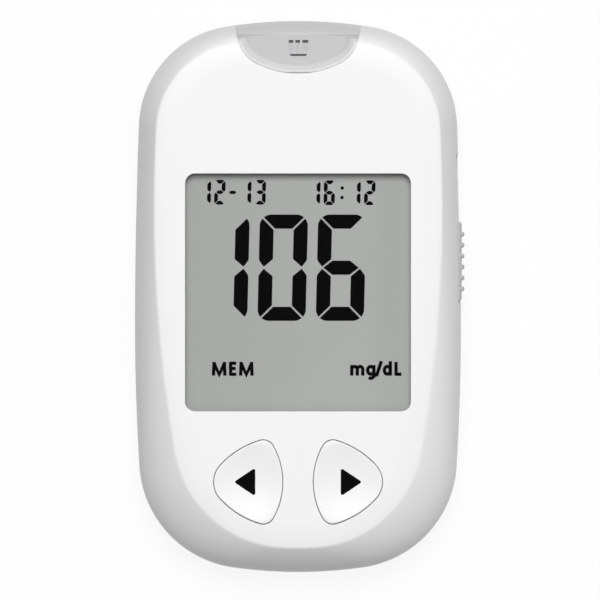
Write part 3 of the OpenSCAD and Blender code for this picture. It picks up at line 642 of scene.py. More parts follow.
port = {
    "width": 21.7, "depth": 9.2, "sideShare": 1.3, "cornerRadius": 6.0, "endRadius": 16.0,
    "open": 3.0, "steps": 26, "dish": 0.7, "rim": 0.3, "bevel": 1.5, "skin": 1.8, "wallY": 45.0,
    "flangeWidth": 0.8, "flangeLength": 3.2, "flangeThick": 1.0, "edgeSoft": 0.06, "ownSoft": 0.05,
    "snug": 0.08, "notchWidth": 4.4, "notchReach": 0.16, "notchDepth": 0.5,
    "dishSteps": 12, "reliefLeast": 0.03, "reliefStart": 0.4, "reliefRun": 1.6,
}
port["innerY"] = halfLength - port["depth"]
portArcs = quarterArcs(port["width"] / 2, port["depth"],
                       (port["sideShare"] * port["depth"], port["cornerRadius"], port["endRadius"]))
portHeadings = [90 * eased(i / port["steps"]) for i in range(port["steps"] + 1)]


def portOutline(grow):
    # the D of the insert, open past the upper end of the casing
    side = [(port["width"] / 2 + grow, -port["open"])]
    side += [arcPoint(portArcs, h, grow) for h in portHeadings]
    left = [(-x, halfLength - y) for x, y in side]
    return left + [(x, halfLength - y) for x, y in reversed(side[:-1])]


key = {
    "width": 11.8, "length": 14.4, "x": 2.75, "y": -32.2, "nose": 4.2, "tip": 1.9, "sideRadius": 15.0,
    "tipX": 3.3, "rise": 0.15, "dish": 0.4, "dishRadius": 60.0, "gap": 0.2, "flange": 0.9,
    "flangeThick": 0.95, "flangeFit": 0.05, "skin": 1.2, "post": 4.0, "postLow": 18.2,
    "edgeSoft": 0.18, "edgeSteps": 6, "mouthSoft": 0.05, "step": 5.0,
    "snug": 0.06,  # how far the sides of the cap reach into the gap
    "rings": (0.94, 0.86, 0.76, 0.64, 0.5, 0.36, 0.22, 0.08),  # of the dish, as shares of the edge
}
key["middle"] = (key["x"] + key["width"] / 2, key["y"])
key["rimZ"] = faceZ + key["rise"]
key["flangeTop"] = faceUnder - key["flangeFit"]
key["under"] = key["flangeTop"] - key["flangeThick"]


def makeKeyArcs():
    tip = (key["tipX"], key["length"] / 2 - key["tip"])
    nose = (key["width"] - key["nose"], 0)
    side = circlesCross(nose, key["sideRadius"] - key["nose"], tip, key["sideRadius"] - key["tip"])
    back = (tip[0] ** 2 + tip[1] ** 2 - key["tip"] ** 2) / (2 * (tip[0] - key["tip"]))
    return [
        (nose, key["nose"], headingOf((nose[0] - side[0], nose[1] - side[1]))),
        (side, key["sideRadius"], headingOf((tip[0] - side[0], tip[1] - side[1]))),
        (tip, key["tip"], headingOf((tip[0] - back, tip[1]))),
        ((back, 0), back, 180),
    ]


keyArcs = makeKeyArcs()


def keyOutline(grow):
    # the key on the right, whose nose points to +X
    points = []
    for i in range(1, round(360 / key["step"]) + 1):
        h = -180 + i * key["step"]
        x, y = arcPoint(keyArcs, abs(h), grow)
        points.append((key["x"] + x, key["y"] + (y if h >= 0 else -y)))
    return points


slider = {
    "z": 12.2, "plateIn": 27.3, "plateOut": 28.5, "low": -0.8, "length": 13.8, "height": 6.2,
    "travel": 11.0, "spare": 0.7, "pocketX": 27.0, "padX": 25.2, "padHeight": 5.2, "padReach": 1.5,
    "carriageX": 21.5, "carriageWidth": 3.4, "neckHeight": 2.6, "neckSetback": 1.2, "ribCount": 6,
    "ribPitch": 1.9, "ribRise": 0.495, "ribEnd": 0.2, "ribWidth": 0.9, "ribSoft": 0.4,
    "roundHeight": 2.4, "edgeShare": 0.12, "pocketCorner": 0.6,
    "endCuts": ((0, 0.5), (0.12, 0.12), (0.35, 0.0)),  # from each end, how far in the plate's face is
}
slider["high"] = slider["low"] + slider["length"]
slider["trackLow"] = slider["low"] - slideFit
slider["trackHigh"] = slider["high"] + slider["travel"] + slider["spare"]
slider["neckLow"] = slider["low"] + slider["neckSetback"]
slider["neckHigh"] = slider["high"] - slider["neckSetback"]

strip = {"width": 8.4, "slot": 1.3, "z": 11.8, "inner": 30.0}
screws = {
    "places": [(sx * 18.4, y) for y in (32, -28) for sx in (-1, 1)], "shank": 2.0, "head": 3.8,
    "seat": 4.0, "tip": 19.0, "rearBoss": 5.8, "frontBoss": 4.8, "play": 0.15, "threadPlay": 0.04,
    "tipPlay": 0.6,
}
foot = {"diameter": 6.4, "seat": 1.0, "soft": 0.35, "landing": 1.6, "softSteps": 5}
boardZ, boardTop = 14.0, 15.2


def sliderPad(low, high):
    return block("pad", (slider["padX"], slider["trackLow"] - slider["padReach"], low),
                 (slider["pocketX"] + weld, slider["trackHigh"] + slider["padReach"], high))


def sliderCuts():
    # the pocket for the plate, with round corners, and the slot for its neck
    size = (slider["trackHigh"] - slider["trackLow"], slider["height"] + 2 * slideFit)
    middle = ((slider["trackLow"] + slider["trackHigh"]) / 2, slider["z"])
    outline = rounded(size, slider["pocketCorner"], middle)  # of (y, z)
    pocket = loft("pocket", [[(x, y, z) for y, z in outline] for x in (slider["pocketX"], casing["width"])])
    neck = (slider["neckHeight"] + slideFit) / 2
    slot = block(
        "slot", (slider["carriageX"], slider["neckLow"] - slideFit, slider["z"] - neck),
        (casing["width"], slider["neckHigh"] + slider["travel"] + slideFit, slider["z"] + neck),
    )
    return pocket, slot


def lipRing(outer, inner, low, high):
    ring = prism("lip", wholeOutline(bodyOutline, -outer), low, high)
    cut(ring, prism("inside", wholeOutline(bodyOutline, -inner), low - past, high + past))
    cut(ring, prism("portGap", portOutline(casing["lipThick"] + casing["lipGap"]), partingZ, high + past))
    sideGap = slider["padReach"] * 2
    return cut(ring, block("trackGap", (slider["carriageX"], slider["trackLow"] - sideGap, partingZ - fit),
                           (casing["width"], slider["trackHigh"] + sideGap, high + past)))


def seamRings(ringAt):
    # a small round at the joint between the shells: ringAt(distance from the joint, inset)
    return [ringAt(casing["seam"] * away, casing["seam"] * inset) for away, inset in quarterRound(4)]


def frontForm():
    rings = seamRings(lambda away, inset: ringOf(lambda h: frontPoint(h, away, inset)))
    softShare = 1 - casing["creaseSoft"] / casing["rollRun"]
    start = casing["seam"] / (creaseZ - partingZ)
    for i in range(1, casing["rollSteps"] + 1):
        share = mixed(start, softShare, i / casing["rollSteps"])
        rings.append(ringOf(lambda h: rollPoint(h, share)))
    crownSoft = casing["creaseSoft"] / casing["crownWidth"]
    for i in range(1, casing["creaseSteps"]):
        rings.append(ringOf(lambda h: creasePoint(h, softShare, crownSoft, i / casing["creaseSteps"])))
    for i in range(casing["crownSteps"] + 1):
        rings.append(ringOf(lambda h: crownPoint(h, mixed(crownSoft, 1, i / casing["crownSteps"]))))
    return loft("frontForm", rings)


def frontPoint(heading, rise, inset):
    # a point of the roll at a rise above the joint, drawn in by an inset
    turn = asinD(rise / (creaseZ - partingZ) * sinD(rollEnd(heading)))
    x, y = rolledPoint(heading, turn, inset, inset)
    return (x, y, partingZ + rise)


def creasePoint(heading, share, crownShare, t):
    # a parabola that rounds the crease between the roll and the crowned face
    a, b, c = rollPoint(heading, share), rollPoint(heading, 1), crownPoint(heading, crownShare)
    return tuple(mixed(mixed(p, q, t), mixed(q, r, t), t) for p, q, r in zip(a, b, c))


def frontHollow():
    top = creaseZ - casing["faceWall"]
    walls = (casing["sideWall"], casing["creaseWall"])
    rings = [levelRing(bodyOutline, -casing["sideWall"], partingZ - past)]
    for i in range(casing["hollowSteps"] + 1):
        rings.append(ringOf(lambda h: rollPoint(h, i / casing["hollowSteps"], *walls, top)))
    rings.append(levelRing(faceOutline, -casing["creaseWall"] - past, faceUnder))
    return loft("frontHollow", rings)


def makeFrontCasing():
    shell = cut(frontForm(), frontHollow())
    for place in screws["places"]:
        join(shell, rod("boss", screws["frontBoss"], place, boardTop, faceUnder + casing["faceWall"] / 2))
    join(shell, sliderPad(partingZ, slider["z"] + slider["padHeight"] / 2))
    cut(shell, softColumn("displayCut", screenOutline, faceUnder - past, screen["edgeSoft"]))
    for outline in (keyOutline, lambda grow: mirrored(keyOutline(grow))):
        cut(shell, softColumn("keyCut", lambda grow: outline(key["gap"] + grow), faceUnder - past,
                              key["mouthSoft"]))
    cut(shell, softColumn("portCut", lambda grow: portOutline(fit + grow), partingZ - past,
                          port["edgeSoft"], faceRelief))
    lip = casing["lipInset"]
    cut(shell, lipRing(lip - fit, lip + casing["lipThick"] + past, partingZ - past,
                       partingZ + casing["lipHeight"] + fit))
    for place in screws["places"]:
        cut(shell, rod("bore", screws["shank"] + screws["threadPlay"], place, boardTop - past,
                       screws["tip"] + screws["tipPlay"]))
    cut(shell, *sliderCuts())
    addPiece(shell, "frontCasing", "casing", "white_casing", replaced="front_shell")


bay = {"width": 23.2, "low": -42.6, "high": 7.2, "wall": 1.3, "top": 13.2}
door = {
    "width": 26.4, "high": 9.45, "thick": 1.7, "tabCount": 3, "tabPitch": 14.0, "firstTab": -32.6,
    "tabLength": 5.0, "tabWidth": 1.2, "tabThick": 0.7, "travel": 8.0, "trackWall": 1.0,
    "trackRoof": 0.9, "gripCount": 5, "gripPitch": 2.0, "gripDepth": 0.4, "gripWidth": 14.0,
    "gripEdge": 4.0, "gripShare": 0.42, "gripRunOut": 1.5, "corner": 1.2, "soft": 0.25,
}
mouthSoft = 0.15  # of the openings in the back
returnSpring = {
    "x": 23.2, "z": 8.8, "diameter": 3.6, "wire": 0.45, "turns": 9, "low": 11.8, "high": 27.8,
    "postThick": 1.5, "postSpare": 0.8, "spigot": 2.0, "wireSides": 12, "turnSteps": 28,
    "closedPitch": 1.05,
}


def rearForm(inset=0.0, lift=0.0):
    ringSteps = casing["rollSteps"]
    rings = [rearRing(90 * (1 - i / ringSteps), inset, lift) for i in range(ringSteps)]
    depth = partingZ - backZ - lift
    seam = seamRings(lambda away, extra: rearRing(asinD(away / depth), inset + extra, lift))
    return loft("rearForm", rings + seam[::-1])


def rearHollow():
    steps = 12
    rings = [rearRing(90 * (1 - i / steps), casing["sideWall"], casing["rearWall"]) for i in range(steps + 1)]
    rings.append(levelRing(bodyOutline, -casing["sideWall"], partingZ + past))
    return loft("rearHollow", rings)


def doorOutline(grow, high):
    # open past the lower end of the casing, with round upper corners
    half, r = door["width"] / 2 + grow, door["corner"]
    points = [(-half, -casing["length"]), (half, -casing["length"])]
    for x, start in ((half - r, 0), (r - half, 90)):
        points += [(x + r * cosD(a), high - r + r * sinD(a)) for a in range(start, start + 91, 10)]
    return points


def doorFlare(grow):
    return doorOutline(fit + grow, door["high"] + slideFit + grow)


def pairOfBlocks(low, high):
    yield block("right", low, high)
    yield block("left", (-high[0], low[1], low[2]), (-low[0], high[1], high[2]))


def makeRearCasing():
    shell = cut(rearForm(), rearHollow())
    lip = casing["lipInset"]
    floor = backZ + casing["rearWall"]
    halfWall = backZ + casing["rearWall"] / 2
    join(shell, lipRing(lip, lip + casing["lipThick"], partingZ - casing["lipHeight"],
                        partingZ + casing["lipHeight"]))
    out = bay["width"] / 2 + bay["wall"]
    roof = door["width"] / 2 + door["tabWidth"] + door["trackWall"]
    join(shell, block("walls", (-out, bay["low"] - bay["wall"], halfWall),
                      (out, bay["high"] + bay["wall"], bay["top"])))
    join(shell, block("roof", (-roof, bay["low"], halfWall),
                      (roof, door["high"] + door["trackWall"], floor + door["trackRoof"])))
    for place in screws["places"]:
        join(shell, rod("boss", screws["rearBoss"], place, halfWall, boardZ))
    join(shell, sliderPad(slider["z"] - slider["padHeight"] / 2, partingZ))
    join(shell, keep(rearForm(casing["sideWall"] / 2, casing["rearWall"] / 2), springPost()))
    r = returnSpring["diameter"] / 2 - 1.5 * returnSpring["wire"]
    ends = (returnSpring["high"] - returnSpring["spigot"], returnSpring["high"] + weld)
    join(shell, turned("spigot", [(r, y) for y in ends], (returnSpring["x"], 0, returnSpring["z"]), "Y"))
    cut(shell, block("bay", (-bay["width"] / 2, bay["low"], backZ - past),
                     (bay["width"] / 2, bay["high"], boardZ)))
    cutDoorOpening(shell)
    for place in screws["places"]:
        seat = [(foot["diameter"] / 2 + fit + grow, z) for grow, z in mouthLevels(0.05, backZ + foot["seat"])]
        cut(shell, turned("footSeat", seat, (*place, 0)))
        cut(shell, rod("headBore", screws["head"] + 4 * screws["play"], place, backZ, screws["seat"]))
        cut(shell, rod("shankBore", screws["shank"] + 2 * screws["play"], place, screws["seat"] - past,
                       boardZ + past))
    cut(shell, *sliderCuts())
    cut(shell, stripMouth(strip["z"] - strip["slot"] / 2))
    addPiece(shell, "rearCasing", "casing", "rear_casing", replaced="rear_shell")


def springPost():
    half = (returnSpring["diameter"] + returnSpring["postSpare"]) / 2
    return block("post", (returnSpring["x"] - half, returnSpring["high"], 0),
                 (returnSpring["x"] + half, returnSpring["high"] + returnSpring["postThick"],
                  returnSpring["z"] + returnSpring["diameter"] / 2))


def mouthLevels(middle, top):
    # growth and height of an opening in the back, whose edge is softened in two steps
    return [(mouthSoft, backZ - past), (mouthSoft, backZ), (middle, backZ + mouthSoft / 2),
            (0, backZ + mouthSoft), (0, top)]


def stripMouth(low):
    half, high = strip["width"] / 2, strip["z"] + strip["slot"] / 2
    return block("stripMouth", (-half, strip["inner"], low), (half, halfLength + past, high))


def cutDoorOpening(shell):
    # the opening, the tracks over its tabs and the notches that let them out
    top = backZ + door["thick"] + fit
    ledge = backZ + door["thick"] - door["tabThick"] - fit
    half = door["width"] / 2 + fit
    outer = door["width"] / 2 + door["tabWidth"] + slideFit
    last = door["firstTab"] + (door["tabCount"] - 1) * door["tabPitch"] + door["tabLength"]
    cut(shell, loft("doorOpening", [raised(doorFlare(grow), z) for grow, z in mouthLevels(0.04, top)]))
    cut(shell, *pairOfBlocks((half - past, door["firstTab"] - door["travel"] - slideFit, ledge),
                             (outer, last + slideFit, top)))
    for i in range(door["tabCount"]):
        low = door["firstTab"] + i * door["tabPitch"] - door["travel"]
        cut(shell, *pairOfBlocks((half - past, low - slideFit, backZ - past),
                                 (outer, low + door["tabLength"] + slideFit, ledge + weld)))


def makeBatteryDoor():
    # the part of the rear form inside the door's outline, with tabs and scalloped finger grooves
    top, soft = backZ + door["thick"], door["soft"]
    rings = [raised(doorOutline(-soft * inset, door["high"] - soft * inset), backZ + soft * up)
             for up, inset in quarterRound(4)]
    rings.append(raised(doorOutline(0, door["high"]), top))
    cover = keep(rearForm(), loft("doorPrism", rings))
    for i in range(door["tabCount"]):
        low = door["firstTab"] + i * door["tabPitch"]
        join(cover, *pairOfBlocks((door["width"] / 2 - past, low, top - door["tabThick"]),
                                  (door["width"] / 2 + door["tabWidth"], low + door["tabLength"], top)))
    for i in range(door["gripCount"]):
        y = door["high"] - door["gripEdge"] - (i + 0.5) * door["gripPitch"]
        cut(cover, fingerGroove(y))
    addPiece(cover, "batteryDoor", "door", "rear_casing", replaced="battery_door")


def fingerGroove(y):
    # a shallow round groove across the door whose ends run out
    depth, half = door["gripDepth"], door["gripPitch"] * door["gripShare"]
    radius = (half * half + depth * depth) / (2 * depth)
    reach, runOut, steps = door["gripWidth"] / 2, door["gripRunOut"], 16
    rings = []
    for i in range(steps + 1):
        x = reach * (2 * i / steps - 1)
        fade = max(0.0, abs(x) - reach + runOut) / runOut
        section = circle(radius - depth * fade * fade, (y, backZ + depth - radius))
        rings.append([(x, sy, sz) for sy, sz in section])
    return loft("groove", rings)


def makeDisplayWindow():
    # a flange under the face and a raised pane whose rim is rounded
    top, soft = faceZ - screen["windowDrop"], screen["windowSoft"]
    levels = [(screen["flange"], faceUnder - screen["flangeThick"]), (screen["flange"], faceUnder),
              (-fit, faceUnder)]
    levels += [(-fit - soft * inset, top - soft * down) for inset, down in quarterRound(4)]
    pane = loft("pane", [raised(screenOutline(grow), z) for grow, z in levels])
    addPiece(pane, "displayWindow", "casing", "clear_window", replaced="display_window")


digitShape = {
    "big": {"width": 8.37, "height": 18.47, "stroke": 2.45, "gap": 0.30, "corner": 1.45, "inner": 0.3},
    "small": {"width": 1.94, "height": 4.30, "stroke": 0.66, "gap": 0.10, "corner": 0.5, "inner": 0.1},
    "slant": 0.024, "z": 19.2,
}
inkThick = 0.012
segmentsOf = {"0": "abcdef", "1": "bc", "2": "abged", "3": "abgcd", "6": "afgecd"}
readings = [  # size, digits, the first one's middle, and the pitch
    ("big", "106", (-12.78, 5.0), 10.13),
    ("small", "12", (-16.08, 18.12), 2.5),
    ("small", "13", (-9.08, 18.12), 2.52),
    ("small", "16", (2.92, 18.03), 2.53),
    ("small", "12", (9.92, 18.03), 2.55),
]
dashAndColon = {"dash": (-11.35, 18.08), "dashHalf": (0.62, 0.31), "colon": ((7.69, 18.85), (7.65, 17.2)),
                "dot": 0.3}


def softCorner(points, radii, perCorner=6):
    # the same outline with each corner rounded by its own radius
    result = []
    count = len(points)
    for i, p in enumerate(points):
        p = Vector(p)
        a, b = Vector(points[i - 1]) - p, Vector(points[(i + 1) % count]) - p
        half = a.angle(b) / 2
        reach = min(radii[i] / math.tan(half), a.length * 0.48, b.length * 0.48)
        start, end = p + a.normalized() * reach, p + b.normalized() * reach
        radius = reach * math.tan(half)
        centre = p + (a.normalized() + b.normalized()).normalized() * radius / math.sin(half)
        for k in range(perCorner + 1):
            spoke = start.lerp(end, k / perCorner) - centre
            result.append(tuple(centre + spoke.normalized() * radius))
    return result


def segmentOutlines(shape):
    # the seven bars of a digit about its middle, split by gaps at 45 degrees
    w, h, s = shape["width"] / 2, shape["height"] / 2, shape["stroke"]
    c = shape["gap"] / math.sqrt(2)
    big, small = shape["corner"], shape["inner"]
    lead = 0.36 * s  # from the outer edge to the tip of a vertical bar
    # the factors below place the ends of the big outer corner and slant the tips of the bars
    upper = [(w, h - big * 1.05), (w - big * 0.32, h - big * 0.32 - c), (w - s, h - s - c),
             (w - s, (s - lead) * 0.82 + c), (w - lead, c * 0.8), (w, lead * 1.25 + c)]
    upperRadii = [big * 1.1, small * 0.3, small, small, small * 0.3, big * 0.7]
    top = [(w - big * 0.32 - c, h - big * 0.32), (w - big * 1.05, h), (-w + big * 1.05, h),
           (-w + big * 0.32 + c, h - big * 0.32), (-w + s + c, h - s), (w - s - c, h - s)]
    topRadii = [small * 0.3, big * 1.1, big * 1.1, small * 0.3, small * 0.5, small * 0.5]
    bar = [(w - lead - c, 0), (w - s - c, s / 2), (-w + s + c, s / 2), (-w + lead + c, 0),
           (-w + s + c, -s / 2), (w - s - c, -s / 2)]
    barRadii = [small * 0.3, small, small, small * 0.3, small, small]
    b, a, g = softCorner(upper, upperRadii), softCorner(top, topRadii), softCorner(bar, barRadii)
    return {
        "a": a, "b": b, "g": g,
        "c": [(x, -y) for x, y in b], "d": [(x, -y) for x, y in a],
        "e": [(-x, -y) for x, y in b], "f": [(-x, y) for x, y in b],
    }


def plate(points, low=digitShape["z"]):
    # a thin flat solid, just above the display glass or on another floor
    area = sum(a[0] * b[1] - b[0] * a[1] for a, b in zip(points, points[1:] + points[:1]))
    return prism("plate", points if area > 0 else points[::-1], low, low + inkThick)


def gathered(name, pieces):
    # several separate solids as one mesh
    points, faces = [], []
    for piece in pieces:
        start = len(points)
        points += [tuple(v.co) for v in piece.data.vertices]
        faces += [tuple(start + i for i in p.vertices) for p in piece.data.polygons]
        mesh = piece.data
        bpy.data.objects.remove(piece)
        bpy.data.meshes.remove(mesh)
    return newObject(name, points, faces)


def makeDigits():
    slant = digitShape["slant"]
    for i, (size, text, (x, y), pitch) in enumerate(readings):
        bars = segmentOutlines(digitShape[size])
        plates = [
            plate([(x + k * pitch + px + slant * py, y + py) for px, py in bars[letter]])
            for k, digit in enumerate(text) for letter in segmentsOf[digit]
        ]
        addPiece(gathered("digits", plates), f"digits_{i + 1}", "casing", "segment_black")
    (x, y), (halfX, halfY) = dashAndColon["dash"], dashAndColon["dashHalf"]
    marks = [plate([(x + halfX * cosD(a), y + halfY * sinD(a)) for a in range(0, 360, 15)])]
    marks += [plate(circle(dashAndColon["dot"], place, 24)) for place in dashAndColon["colon"]]
    addPiece(gathered("marks", marks), "dash_and_colon", "casing", "segment_black")


# each letter has its width and its strokes in cap heights; a stroke is the points that a pen follows
pen = {"height": 2.39, "weight": 0.245, "arcSteps": 5}


def arc(cx, cy, rx, ry, start, end):
    steps = max(2, round(abs(end - start) / 90 * pen["arcSteps"]))
    return [(cx + rx * cosD(mixed(start, end, i / steps)), cy + ry * sinD(mixed(start, end, i / steps)))
            for i in range(steps + 1)]


glyphs = {
    "M": (1.0, [[(0.084, 0), (0.115, 1)], [(0.115, 0.9), (0.417, 0.08), (0.72, 0.9)],
                [(0.72, 1), (0.75, 0)]]),
    "E": (0.585, [[(0.084, 0), (0.084, 1)], [(0.084, 0.9), (0.41, 0.9)], [(0.084, 0.52), (0.38, 0.52)],
                  [(0.084, 0.1), (0.417, 0.1)]]),
    "m": (1.054, [[(0.096, 0), (0.096, 0.77)], arc(0.28, 0.45, 0.181, 0.215, 150, 0) + [(0.461, 0)],
                  arc(0.645, 0.45, 0.181, 0.215, 150, 0) + [(0.826, 0)]]),
    "g": (0.61, [arc(0.305, 0.385, 0.209, 0.28, 40, 330), [(0.514, 0.77), (0.514, 0.0)]
                 + arc(0.3, 0.0, 0.214, 0.19, 0, -130)]),
    "/": (0.506, [[(0.07, -0.05), (0.40, 1.05)]]),
    "d": (0.778, [arc(0.293, 0.385, 0.197, 0.28, 40, 330), [(0.49, 0), (0.49, 1.05)]]),
    "L": (0.46, [[(0.096, 1), (0.096, 0)], [(0.096, 0.1), (0.46, 0.1)]]),
}
labels = [
    {"name": "labelMemory", "text": "MEM", "low": (-14.93, -13.75), "width": 7.69},
    {"name": "labelUnit", "text": "mg/dL", "low": (9.1, -13.75), "width": 8.89},
]


def penStroke(points, weight):
    # a band along the points with square ends and mitred bends
    points = [Vector(p) for p in points]
    left, right = [], []
    for i, p in enumerate(points):
        before = (p - points[i - 1]).normalized() if i else (points[1] - p).normalized()
        after = (points[i + 1] - p).normalized() if i + 1 < len(points) else before
        way = (before + after).normalized()
        side = Vector((-way.y, way.x)) * weight / 2 / max(0.5, way.dot(before))
        left.append(tuple(p + side))
        right.append(tuple(p - side))
    return left + right[::-1]


def makeLabel(label):
    # generic words of such a display
    scale = label["width"] / sum(glyphs[letter][0] for letter in label["text"])
    (x, y), strokes = label["low"], []
    for letter in label["text"]:
        advance, lines = glyphs[letter]
        for line in lines:
            drawn = [(x + px * scale, y + py * pen["height"]) for px, py in line]
            strokes.append(plate(penStroke(drawn, pen["weight"] * pen["height"])))
        x += advance * scale
    addPiece(join(*strokes), label["name"], "casing", "segment_black")


def dishZ(x, y):
    r = key["dishRadius"]
    return key["rimZ"] - key["dish"] + r - math.sqrt(r * r - math.dist((x, y), key["middle"]) ** 2)


def keyTopRing(outline, down=0.0):
    return [(x, y, min(key["rimZ"], dishZ(x, y)) - down) for x, y in outline]


def shrunk(outline, middle, share):
    return [(mixed(middle[0], x, share), mixed(middle[1], y, share)) for x, y in outline]


def makeKeyCap():
    soft, snug = key["edgeSoft"], key["snug"]
    rings = [raised(keyOutline(grow), z) for grow, z in (
        (key["flange"], key["under"]), (key["flange"], key["flangeTop"]), (snug, key["flangeTop"]),
    )]
    rings += [keyTopRing(keyOutline(snug - soft * inset), soft * down)
              for inset, down in quarterRound(key["edgeSteps"])]
    edge = keyOutline(snug - soft)
    rings += [keyTopRing(shrunk(edge, key["middle"], share)) for share in key["rings"]]
    cap = loft("keyCap", rings)
    cut(cap, prism("hollow", keyOutline(-key["skin"]), key["under"] - past, faceZ - key["skin"]))
    return join(cap, rod("post", key["post"], key["middle"], key["postLow"], faceZ - key["skin"] / 2))


arrow = {"back": 7.42, "tip": 11.13, "half": 2.5, "corner": 0.28, "sunk": 0.06,
         "rings": (1, 0.8, 0.6, 0.4, 0.2, 0.05)}


def makeArrow():
    # a printed arrow that follows the dish
    outline = softCorner(
        [(arrow["back"], key["y"] - arrow["half"]), (arrow["tip"], key["y"]),
         (arrow["back"], key["y"] + arrow["half"])],
        [arrow["corner"]] * 3,
    )
    middle = ((2 * arrow["back"] + arrow["tip"]) / 3, key["y"])
    rings = [[(x, y, dishZ(x, y) - arrow["sunk"]) for x, y in outline]]
    for share in arrow["rings"]:
        rings.append([(x, y, dishZ(x, y) + inkThick) for x, y in shrunk(outline, middle, share)])
    return loft("arrow", rings)


def flipped(piece):
    # the mirror image, left to right, with its faces turned back out
    piece.data.transform(((-1, 0, 0, 0), (0, 1, 0, 0), (0, 0, 1, 0), (0, 0, 0, 1)))
    piece.data.flip_normals()
    return piece


def makeKeys():
    for side in ("left", "right"):
        cap, mark = makeKeyCap(), makeArrow()
        if side == "left":
            cap, mark = flipped(cap), flipped(mark)
        body = side + "_key_body"
        addPiece(cap, side + "Key", body, "key_white", replaced=side + "_key")
        addPiece(mark, side + "KeyArrow", body, "arrow_print")


def faceRelief(point):
    # height of the crowned face and how much room an edge's round has there
    waist, upper, lower = faceOutline
    x, y = abs(point[0]), abs(point[1] - waist)
    arcs = upper if point[1] > waist else lower
    centre, radius, _ = next(a for a in arcs if headingOf((x - a[0][0], y - a[0][1])) <= a[2] + hair)
    inside = radius - math.dist((x, y), centre)
    share = clamped(inside / casing["crownWidth"], 0.0, 1.0)
    room = clamped((inside - port["reliefStart"]) / port["reliefRun"], port["reliefLeast"], 1.0)
    return faceZ - casing["crown"] * (1 - share) ** 2, room


def makePortInsert():
    floor = faceZ - port["dish"]
    body = keep(frontForm(), softColumn("portBody", lambda grow: portOutline(port["snug"] - grow),
                                        partingZ + fit, port["ownSoft"], faceRelief, 3))
    cut(body, block("under", (-casing["width"], 0, 0),
                    (casing["width"], port["wallY"], floor - port["skin"])))
    flangeTop = faceUnder - fit
    flange = prism("flange", portOutline(port["flangeWidth"]), flangeTop - port["flangeThick"], flangeTop)
    keep(flange, block("flangeEnd", (-casing["width"], 0, 0),
                       (casing["width"], port["innerY"] + port["flangeLength"], casing["face"])))
    join(body, flange)
    rings = []
    for i in range(port["dishSteps"] + 1):
        t = i / port["dishSteps"]
        rise = mixed(t, eased(t), 0.5)
        rings.append([(*p, mixed(floor, faceRelief(p)[0], rise))
                      for p in portOutline(-port["rim"] - port["bevel"] * (1 - t))])
    rings.append([(x, y, z + past) for x, y, z in rings[-1]])
    cut(body, loft("dish", rings))
    cut(body, stripMouth(partingZ - past))
    half = port["notchWidth"] / 2  # a narrow notch in the middle of the inner edge
    cut(body, block("notch", (-half, port["innerY"] - past, faceZ - port["notchDepth"]),
                    (half, port["innerY"] + port["notchReach"], faceZ + past)))
    addPiece(body, "portInsert", "casing", "port_grey", replaced="strip_port_insert", sharpAngle=40)


pictogram = {
    "bars": [(-1.60, -0.80), (-0.47, 0.35), (0.75, 1.79)], "capTop": 44.54, "capLow": 44.05,
    "barLow": 42.55, "base": (-1.45, 1.57), "baseTop": 42.12, "baseLow": 41.75, "baseNarrow": 0.2,
}


def makePictogram():
    # three contact bars of a strip and the line under them, printed in the dish
    def mark(sides, low, high, narrow=0.0):
        (left, right), bottom, top = sides, pictogram[low], pictogram[high]
        return plate([(left + narrow, bottom), (right - narrow, bottom), (right, top), (left, top)],
                     faceZ - port["dish"])

    caps = [mark(sides, "capLow", "capTop") for sides in pictogram["bars"]]
    caps.append(mark(pictogram["base"], "baseLow", "baseTop", pictogram["baseNarrow"]))
    bars = [mark(sides, "barLow", "capLow") for sides in pictogram["bars"]]
    addPiece(gathered("caps", caps), "stripSymbolDark", "casing", "pictogram_dark")
    addPiece(gathered("bars", bars), "stripSymbolGrey", "casing", "pictogram_grey")


def makeSliderPlate():
    # a plate with well rounded upper and lower edges, and ridges across it
    middle = slider["low"] + slider["length"] / 2
    low, high = slider["z"] - slider["height"] / 2, slider["z"] + slider["height"] / 2
    thick = (slider["plateOut"] - slider["plateIn"]) * (1 - slider["edgeShare"])
    rounds = [(slider["plateOut"] - thick * down, slider["roundHeight"] * up) for up, down in quarterRound(9)]
    section = [(slider["plateIn"], high), (slider["plateIn"], low)]
    section += [(x, low + z) for x, z in rounds] + [(x, high - z) for x, z in reversed(rounds)]
    ends = [(slider["low"] + y, inset) for y, inset in slider["endCuts"]]
    ends += [(slider["high"] - y, inset) for y, inset in reversed(slider["endCuts"])]
    thumb = loft("thumbPlate", [
        [(min(x, slider["plateOut"] - inset), y, z) for x, z in section] for y, inset in ends
    ])
    neckHalf = slider["neckHeight"] / 2
    carriageOut = slider["carriageX"] + slider["carriageWidth"]
    join(thumb, block("neck", (carriageOut, slider["neckLow"], slider["z"] - neckHalf),
                      (slider["plateIn"] + weld, slider["neckHigh"], slider["z"] + neckHalf)))
    first = middle - (slider["ribCount"] - 1) / 2 * slider["ribPitch"]
    for i in range(slider["ribCount"]):
        join(thumb, thumbRib(first + i * slider["ribPitch"]))
    addPiece(thumb, "sliderPlate", "ejector", "slider_grip", "ejector_slider", 40)


def thumbRib(y):
    # a bowed ridge: its back is half an ellipse across the plate, and its crest is round
    reach = slider["plateOut"] + slider["ribRise"] - slider["plateIn"]
    tall = slider["height"] / 2 - slider["ribEnd"]
    half = slider["ribWidth"] / 2
    rings = []
    for turn in range(-90, 91, 15):
        lower = slider["ribSoft"] * (1 - cosD(turn))  # towards its two flanks the ridge falls away
        rings.append([(slider["plateIn"] + (reach - lower) * cosD(a), y + half * sinD(turn),
                       slider["z"] + (tall - lower) * sinD(a)) for a in range(90, -91, -10)])
    return loft("rib", rings)


